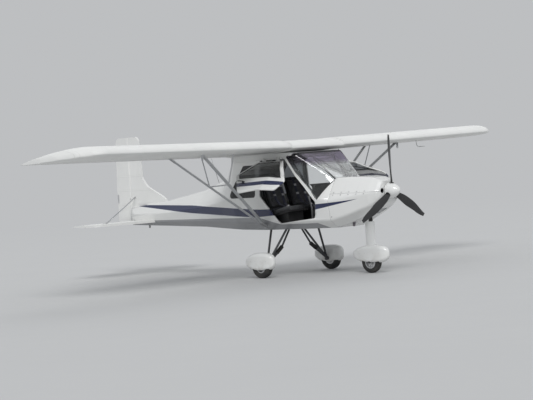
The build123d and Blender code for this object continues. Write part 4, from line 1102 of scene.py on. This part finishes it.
pitot = bmesh.new()
place, normal = on_skin("wing_panels", (1.36, 2.65, 1.0), Z)
drop = place + Vector((0.02, 0, -0.10))
rod(pitot, place + Z * 0.004, place - Z * 0.004, 0.022, 0.018, 20)
pipe(pitot, [place, place.lerp(drop, 0.6), drop, drop + Vector((0.05, 0, -0.004))], 0.0065)
rod(pitot, drop + Vector((0.035, 0, -0.003)), drop + Vector((0.16, 0, -0.003)), 0.0055, 0.0035, 14)
make_piece("pitot_tube", pitot, "airframe", aluminium)

aerial = bmesh.new()
place, normal = on_skin("rear_fuselage", (-0.62, 0, 3), -Z)
rod(aerial, place - normal * 0.002, place + normal * 0.016, 0.020, 0.011, 20)
rod(aerial, place + normal * 0.014, place + Vector((-0.16, 0, 0.46)), 0.0032, 0.0014, 10)
make_piece("whip_aerial", aerial, "airframe", black_plastic)

# %% [markdown]
# ## Strut fittings
# A lift strut ends in two flat plates, bolted through it. The strut's section is flat fore and aft, so the
# bolts run across its thin side: along the cross product of its run and the X axis.

# %% Plates and bolts at the strut ends
STRUT_FOOT = (0.835, 0.520, 0.762)
STRUTS = (
    # top of the strut, width and thickness of its section
    ((1.281, 2.301, 1.983), 0.074, 0.0260),
    ((0.583, 2.301, 1.950), 0.059, 0.0234),
)


def strut_frame(low, high):
    """A strut's run, the way across its thin side, and the rotation of a plate that lies along it."""
    run = (high - low).normalized()
    across = run.cross(X).normalized()
    return run, across, Matrix((run.cross(across), run, across)).transposed().to_4x4()


fittings = bmesh.new()
for side in SIDES.values():
    for top, width, thick in STRUTS:
        low = on_side(STRUT_FOOT, side)
        run, across, turn = strut_frame(low, on_side(top, side))
        skin_at, _ = on_skin("wing_panels", low, run)
        for end, way in ((low + run * 0.035, run), (skin_at - run * 0.010, -run)):
            for out in (across, -across):
                plate = end + way * 0.055 + out * (thick / 2 - 0.001)
                slab(fittings, plate, (width * 0.42, 0.115, 0.005), 0.001, turn)
                for step in (0.030, 0.080):
                    bolt(fittings, end + way * step + out * (thick / 2 + 0.0015), out, 0.008)
make_piece("strut_fittings", fittings, "airframe", steel)

# %% [markdown]
# ## Tyres
# A tyre is round, so half of its section is enough: a few points from the bead over the sidewall to the
# crown, with grooves let into the tread. Spun about the axle they give the whole tyre. The piece stands for
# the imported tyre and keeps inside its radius, so the aeroplane stands at the same height.

# %% Grooved tyres from a spun section
WHEELS = (
    # wheel, what carries its axle, middle of the axle, tyre radius, half width, inner side of its brake or 0
    ("nose", "nose_gear", Vector((2.470, 0.0, 0.165)), 0.165, 0.050, 0),
    ("port", "airframe", Vector((0.960, 0.800, 0.180)), 0.180, 0.055, -1),
    ("starboard", "airframe", Vector((0.960, -0.800, 0.180)), 0.180, 0.055, 1),
)
TYRE_SECTION = (
    # share of the half width, share of the depth from rim to crown
    (0.70, 0.08), (0.84, 0.10), (0.88, 0.16), (0.955, 0.24), (0.99, 0.40), (1.0, 0.56), (0.975, 0.70),
    (0.93, 0.80), (0.925, 0.835), (0.86, 0.90), (0.76, 0.945), (0.63, 0.972), (0.60, 0.935), (0.54, 0.935),
    (0.51, 0.985), (0.26, 0.998), (0.23, 0.955), (0.17, 0.955), (0.14, 1.0), (0.0, 1.0),
)
BEAD_RADIUS = 0.092

for wheel, _, axle, radius, half_width, _ in WHEELS:
    bm = bmesh.new()
    half = [(w * half_width, BEAD_RADIUS + d * (radius - BEAD_RADIUS)) for w, d in TYRE_SECTION]
    line = half + [(-w, r) for w, r in reversed(half[:-1])]
    verts = [bm.verts.new(axle + Y * w + Z * r) for w, r in line]
    edges = [bm.edges.new(pair) for pair in zip(verts[:-1], verts[1:])]
    bmesh.ops.spin(bm, geom=verts + edges, cent=axle, axis=Y, angle=2 * math.pi, steps=72, use_merge=True)
    tyre = make_piece(f"grooved_{wheel}_tyre", bm, f"{wheel}_wheel", tyre_rubber, crease=30)
    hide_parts(f"{wheel}_tyre")

# %% [markdown]
# ## Wheel fittings
# Six bolts hold the halves of each rim together, a valve stem comes out through the disc, and a nut with its
# washer ends the axle. The brake disc sits between the wheel and the leg, with a caliper over its rim; the
# disc turns with the wheel, the caliper stays with the leg.

# %% Rim bolts, valves, axle nuts and brakes
for wheel, carrier, axle, _, _, brake in WHEELS:
    turning, fixed = bmesh.new(), bmesh.new()
    for out in (Y, -Y):
        for around in spokes(6, X, Z, 30):
            bolt(turning, axle + around * 0.062 + out * 0.004, out, 0.008)
    valve = axle + Y * 0.004 + Z * 0.048
    rod(turning, valve, valve + Y * 0.022 + Z * 0.006, 0.0034, 0.0028, 12)
    if brake:
        out = Y * brake
        face = axle + out * 0.0415
        rod(turning, face, face + out * 0.004, 0.078, sides=48)
        ring(turning, face + out * 0.004, out, 0.070, 0.0012, steps=48, sides=6)
        hold = axle + out * 0.0435 - X * 0.066 + Z * 0.012
        slab(fixed, hold, (0.040, 0.022, 0.058), 0.004)
        slab(fixed, hold + out * 0.010 + X * 0.026, (0.058, 0.006, 0.024), 0.002)
        for rise in (-0.018, 0.018):
            bolt(fixed, hold + out * 0.011 + Z * rise, out, 0.006)
        nut = axle - out * 0.0568
        rod(fixed, nut, nut - out * 0.0035, 0.021, 0.0205, 28)
        rod(fixed, nut - out * 0.0030, nut - out * 0.0125, 0.0155, sides=6)
        make_piece(f"brake_and_nut_{wheel}_wheel", fixed, carrier, steel)
    make_piece(f"wheel_fittings_{wheel}_wheel", turning, f"{wheel}_wheel", steel)

# %% [markdown]
# ## Gaiters of the legs, and screws of the spats
# Where the sprung strut slides, a ribbed rubber gaiter keeps the dirt out: a sleeve along the strut's line
# with a ring every twelve millimetres. A stack of rings, of two sizes in turn, closes the hole in the lower
# cowl round the steering leg. Screws hold the spats to their brackets.

# %% Ribbed gaiters, and screws in the spats
SPRUNG_STRUT = ((0.960, 0.330, 0.450), (0.960, 0.677, 0.208))  # top and foot of the port one
STEERING_LEG_X, GAITER_FOOT_Z = 2.500, 0.786


def gaiter(bm, start, end, radius, fold=0.006, pitch=0.012):
    """Ribbed sleeve along a straight line."""
    count = round((end - start).length / pitch)
    for k in range(count + 1):
        ring(bm, start.lerp(end, k / count), end - start, radius, fold, steps=28, sides=8)
    rod(bm, start, end, radius, sides=28)


sleeves = bmesh.new()
for side in SIDES.values():
    top, low = (on_side(end, side) for end in SPRUNG_STRUT)
    gaiter(sleeves, top.lerp(low, 0.02), top.lerp(low, 0.36), 0.0262)
    ring(sleeves, top.lerp(low, 0.38), low - top, 0.0245, 0.0032, steps=28)
make_piece("leg_gaiters", sleeves, "airframe", tyre_rubber)

collar = bmesh.new()
for k in range(5):
    middle = (STEERING_LEG_X, 0, GAITER_FOOT_Z + 0.011 * k)
    ring(collar, middle, Z, 0.0285 + 0.0008 * (k % 2), 0.0045, steps=32)
make_piece("steering_gaiter", collar, "nose_gear", tyre_rubber)

SPAT_SCREWS = (
    # spat, body, centre line across, forward places, height above the ground
    ("main_spats", "airframe", 0.800, (1.10, 1.00, 0.88, 0.78), 0.262),
    ("main_spats", "airframe", -0.800, (1.10, 1.00, 0.88, 0.78), 0.262),
    ("nose_spat", "nose_gear", 0.0, (2.68, 2.56, 2.40, 2.28), 0.300),
)
screws = {"airframe": bmesh.new(), "nose_gear": bmesh.new()}
for spat, body, middle, places, height in SPAT_SCREWS:
    for x in places:
        for way in (1, -1):
            rivet(screws[body], *on_skin(spat, (x, middle + way * 0.2, height), -way * Y), 0.0042)
for body, bm in screws.items():
    make_piece(f"spat_screws_{body}", bm, body, steel)

# %% [markdown]
# ## Nose details
# Domed screws hold the spinner to its back plate, and each blade leaves it through a dark plastic collar. The
# scoop under the nose has a wire grille in front of the cooler, the tail pipe ends in a rolled lip with a
# clamp above it, and an access door on the cowl opens to the oil tank.

# %% Spinner screws, scoop grille, tail pipe lip and oil door
PROPELLER_AT = Vector((2.950, 0, 1.225))
SPINNER_SCREWS_AT = PROPELLER_AT - X * 0.036
TAIL_PIPE = (Vector((2.292, -0.150, 0.720)), Vector((2.340, -0.150, 0.960)))  # from its end upwards
OIL_DOOR = ((2.38, 0.05), (2.38, 0.17), (2.50, 0.16), (2.50, 0.05))

spinner_screws = bmesh.new()
for around in spokes(12, Z, Y, 15):
    rivet(spinner_screws, *on_skin("spinner", SPINNER_SCREWS_AT + around * 0.3, -around), 0.0040)
make_piece("spinner_screws", spinner_screws, "propeller_unit", steel)

collars = bmesh.new()
for around in spokes(3, Z, Y):
    ring(collars, PROPELLER_AT + around * 0.1135, around, 0.0335, 0.0052, steps=36)
make_piece("blade_collars", collars, "propeller_unit", black_plastic)


def under_cooler(x, y, gap):
    """Point a gap below the cooler's face."""
    return on_skin("radiator", (x, y, 0.6), Z)[0] - Z * gap


grille = bmesh.new()
for k in range(-5, 6):
    points = [under_cooler(x, 0.0145 * k, 0.004) for x in (2.60, 2.68, 2.765)]
    pipe(grille, points, 0.0011, smooth=False, sides=1)
for k in range(12):
    place = under_cooler(2.600 + 0.015 * k, 0, 0.0055)
    rod(grille, place - Y * 0.082, place + Y * 0.082, 0.0011, sides=8)
make_piece("scoop_grille", grille, "airframe", aluminium)

pipe_end, pipe_run = TAIL_PIPE[0], (TAIL_PIPE[1] - TAIL_PIPE[0]).normalized()
lip = bmesh.new()
ring(lip, pipe_end + pipe_run * 0.0025, pipe_run, 0.0208, 0.0016, steps=36)
clamp_at = pipe_end + pipe_run * 0.034
for k in range(3):
    ring(lip, clamp_at + pipe_run * 0.004 * k, pipe_run, 0.0212, 0.0024, steps=36, sides=6)
slab(lip, clamp_at + pipe_run * 0.004 - Y * 0.027, (0.008, 0.010, 0.014), 0.001)
make_piece("tail_pipe_lip", lip, "airframe", exhaust_steel)

oil_door = bmesh.new()
edge_line = [on_skin("upper_cowl", (x, y, 3), -Z)[0] for x, y in spaced(OIL_DOOR, 0.02)]
pipe(oil_door, edge_line, 0.0012, closed=True, smooth=False, sides=2)
for x, y in ((2.395, 0.11), (2.485, 0.105)):
    stud(oil_door, *on_skin("upper_cowl", (x, y, 3), -Z), 0.008)
make_piece("oil_door_edge", oil_door, "airframe", aluminium)

# %% [markdown]
# ## Tail details
# The rudder is moved by a horn at its foot. A ground-set tab on the elevator and another on the rudder trim
# the aeroplane: thin metal riveted to the trailing edge, on both faces of the rudder. The braces end in
# forked fittings with a bolt through each.

# %% Rudder horn, trim tabs and brace fittings
HORN_AT = Vector((-2.760, 0, 0.965))
RUDDER_TAB_AT = (-3.078, 1.300)             # X and Z
ELEVATOR_TAB_AT = Vector((-2.990, 0.72, 0.905))
BRACE = ((-2.470, 0.900, 0.905), (-2.640, 0, 1.330))  # foot and head of the port one

horn = bmesh.new()
slab(horn, HORN_AT, (0.034, 0.116, 0.005), 0.0015)
rod(horn, HORN_AT - Z * 0.010, HORN_AT + Z * 0.010, 0.010, sides=16)
for way in (1, -1):
    bolt(horn, HORN_AT + Y * way * 0.050 + Z * 0.0025, Z, 0.007)
    place, normal = on_skin("rudder", (RUDDER_TAB_AT[0], way * 0.2, RUDDER_TAB_AT[1]), -way * Y)
    slab(horn, place + normal * 0.0005, (0.036, 0.150, 0.0014), 0.0004, turned_to(normal))
    for rise in (-0.05, 0, 0.05):
        rivet(horn, place + normal * 0.0010 + X * 0.010 + Z * rise, normal, 0.0030)
make_piece("rudder_horn_and_tab", horn, "rudder_blade", aluminium)

tabs = bmesh.new()
slab(tabs, ELEVATOR_TAB_AT, (0.040, 0.260, 0.0016), 0.0004)
for along in (-0.10, -0.05, 0, 0.05, 0.10):
    for way in (1, -1):
        rivet(tabs, ELEVATOR_TAB_AT + X * 0.013 + Y * along + Z * way * 0.0042, way * Z, 0.0030)
make_piece("elevator_tab", tabs, "elevator_blade", aluminium)

forks = bmesh.new()
for side in SIDES.values():
    low, high = (on_side(end, side) for end in BRACE)
    run, across, turn = strut_frame(low, high)
    for end, way in ((low + run * 0.022, run), (high - run * 0.030, -run)):
        for out in (across, -across):
            slab(forks, end + way * 0.020 + out * 0.0085, (0.016, 0.060, 0.003), 0.001, turn)
        bolt(forks, end + way * 0.035 + across * 0.0105, across, 0.007)
    foot, up_way = on_skin("tailplane", (low.x, low.y, 1.2), -Z)
    slab(forks, foot + up_way * 0.002, (0.055, 0.040, 0.004), 0.001)
    for step in (-0.018, 0.018):
        rivet(forks, foot + up_way * 0.004 + X * step + Y * side * 0.012, up_way, 0.0035)
make_piece("brace_fittings", forks, "airframe", steel)

# %% [markdown]
# ## Cabin fittings
# Two webbing straps hold the fuel tank, and its filler has a ribbed cap. Each gas strut turns on a pin at the
# roof, and a wire clip on each side of its eye keeps it there. The straps are bent strips, the rest is rods
# and rings.

# %% Tank straps and cap, clips of the gas struts
tank_low, tank_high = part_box("fuel_tank")
STRAP_LIFT, STRAP_CORNER = 0.0015, 0.045
GAS_STRUT_FOOT = (0.828, 0.200, 1.772)

straps = bmesh.new()
front, rear, top = tank_high[0] + STRAP_LIFT, tank_low[0] - STRAP_LIFT, tank_high[2] + STRAP_LIFT
for y in (-0.19, 0.19):
    line = []
    for edge, inward in ((front, -1), (rear, 1)):
        climb = [(edge, y, 0.80), (edge, y, top - STRAP_CORNER), (edge + inward * 0.013, y, top - 0.013),
                 (edge + inward * STRAP_CORNER, y, top)]
        line += climb if edge == front else climb[::-1]
    strip(straps, line, Y, 0.038, 0.0015)
    slab(straps, ((front + rear) / 2, y, top + 0.003), (0.052, 0.046, 0.006), 0.0015)
make_piece("tank_straps", straps, "airframe", strap_web)

cap = bmesh.new()
cap_at = Vector(((tank_low[0] + tank_high[0]) / 2, 0, tank_high[2]))
rod(cap, cap_at - Z * 0.002, cap_at + Z * 0.012, 0.040, 0.038, 36)
rod(cap, cap_at + Z * 0.010, cap_at + Z * 0.034, 0.033, 0.031, 36)
for around in spokes(16, X, Y):
    rod(cap, cap_at + around * 0.0325 + Z * 0.012, cap_at + around * 0.0315 + Z * 0.032, 0.0028)
make_piece("tank_cap", cap, "airframe", black_plastic)

for side_name, side in SIDES.items():
    clips = bmesh.new()
    for step in (0.0055, -0.0055):
        ring(clips, on_side(GAS_STRUT_FOOT, side) + X * step, X, 0.0070, 0.0016, steps=24)
    make_piece(f"gas_foot_clip_{side_name}", clips, f"{side_name}_gas_cylinder", steel)

# %% [markdown]
# ## Camera
# The photograph was taken from the aeroplane's starboard front, about 29 m away and a little below the
# wing, with the camera rolled by four degrees so that the right side of the picture stands higher. The
# camera stands there too, with a longer lens, so that the aeroplane fills the frame.

# %% Camera
CAMERA_AT = Vector((19.96, -20.81, 1.82))
AIM_AT = Vector((0.15, 0.25, 1.16))
ROLL = math.radians(3.89)
LENS = 122.0

forward = (AIM_AT - CAMERA_AT).normalized()
right = forward.cross(Z).normalized()
up = right.cross(forward)
rolled_right = right * math.cos(ROLL) - up * math.sin(ROLL)
rolled_up = right * math.sin(ROLL) + up * math.cos(ROLL)
camera_data = bpy.data.cameras.new("photo_camera")
camera_data.lens = LENS
camera_data.clip_end = 400
camera = bpy.data.objects.new("photo_camera", camera_data)
turn = Matrix((rolled_right, rolled_up, -forward)).transposed().to_4x4()
camera.matrix_world = Matrix.Translation(CAMERA_AT) @ turn
scene.collection.objects.link(camera)
scene.camera = camera
print("camera", CAMERA_AT, "looks along", forward)

# %% [markdown]
# ## Studio
# A pale floor carries the shadow. Further out it fades into the tone of the backdrop by its distance from
# the aeroplane, so no horizon shows. Both are a middling pale grey, so that white paint stands out from them
# on its lit and its shaded side. The light is a bright sky all round plus one soft lamp from the front and
# one from behind for the edges, at a level where white paint stays just under white. Both lamps are sun
# lamps: over a span of nearly ten metres, a lamp close by would leave one wing tip darker than the other.
# The rear lamp doesn't show in reflections, where it would turn the windscreen white.

# %% Floor, backdrop and lamps
BACKDROP = (0.510, 0.520, 0.532)
FLOOR = (0.520, 0.523, 0.522)
FADE_FROM, FADE_TO = 7.0, 34.0  # metres from the aeroplane between which the floor turns into the backdrop
SKY_COLOUR, SKY_STRENGTH = (0.93, 0.96, 1.0), 0.56

disc = bmesh.new()
bmesh.ops.create_circle(disc, cap_ends=True, segments=96, radius=150)
floor_data = bpy.data.meshes.new("floor")
disc.to_mesh(floor_data)
disc.free()
floor = bpy.data.objects.new("floor", floor_data)
scene.collection.objects.link(floor)

ground = Finish("studio_floor", FLOOR, tuple(c * 0.985 for c in FLOOR), (0.75, 0.85), 0.4, 60, 0.02)
distance = add(ground.tree, "ShaderNodeVectorMath", {0: ground.place}, operation="LENGTH").outputs["Value"]
floor_material = ground.done(0.001)
glow = add(ground.tree, "ShaderNodeEmission", {"Color": (*BACKDROP, 1), "Strength": 1.0}).outputs[0]
shares = {0: ground.ramp(distance, FADE_FROM, FADE_TO), 1: ground.shader.outputs[0], 2: glow}
fade = add(ground.tree, "ShaderNodeMixShader", shares)
output = next(n for n in ground.tree.nodes if n.type == "OUTPUT_MATERIAL")
ground.tree.links.new(fade.outputs[0], output.inputs[0])
floor_data.materials.append(floor_material)

sky = bpy.data.worlds.new("studio_sky")
sky.use_nodes = True
scene.world = sky
sky_tree = sky.node_tree
sky_tree.nodes.clear()
rays = add(sky_tree, "ShaderNodeLightPath").outputs
seen = sums(sky_tree, "MAXIMUM", rays["Is Camera Ray"], rays["Is Glossy Ray"])
seen = sums(sky_tree, "MAXIMUM", seen, rays["Is Transmission Ray"])
lighting = add(sky_tree, "ShaderNodeBackground", {0: (*SKY_COLOUR, 1), 1: SKY_STRENGTH}).outputs[0]
backdrop = add(sky_tree, "ShaderNodeBackground", {0: (*BACKDROP, 1), 1: 1.0}).outputs[0]
mixed = add(sky_tree, "ShaderNodeMixShader", {0: seen, 1: lighting, 2: backdrop}).outputs[0]
add(sky_tree, "ShaderNodeOutputWorld", {0: mixed})


def far_lamp(name, place, strength, spread, mirrored=True):
    """Lamp so far off that it lights everything alike. The spread, an angle, softens its shadow."""
    lamp_data = bpy.data.lights.new(name, "SUN")
    lamp_data.energy = strength
    lamp_data.angle = math.radians(spread)
    lamp = bpy.data.objects.new(name, lamp_data)
    lamp.location = place
    lamp.rotation_euler = (-Vector(place)).to_track_quat("-Z", "Y").to_euler()
    lamp.visible_glossy = mirrored
    scene.collection.objects.link(lamp)


far_lamp("key_lamp", (9, -9, 12), 1.5, 26)
far_lamp("rim_lamp", (-7, 10, 8), 0.80, 44, mirrored=False)
scene.view_settings.view_transform = "Standard"
print("studio ready")

# %% [markdown]
# The added pieces may not make it larger.
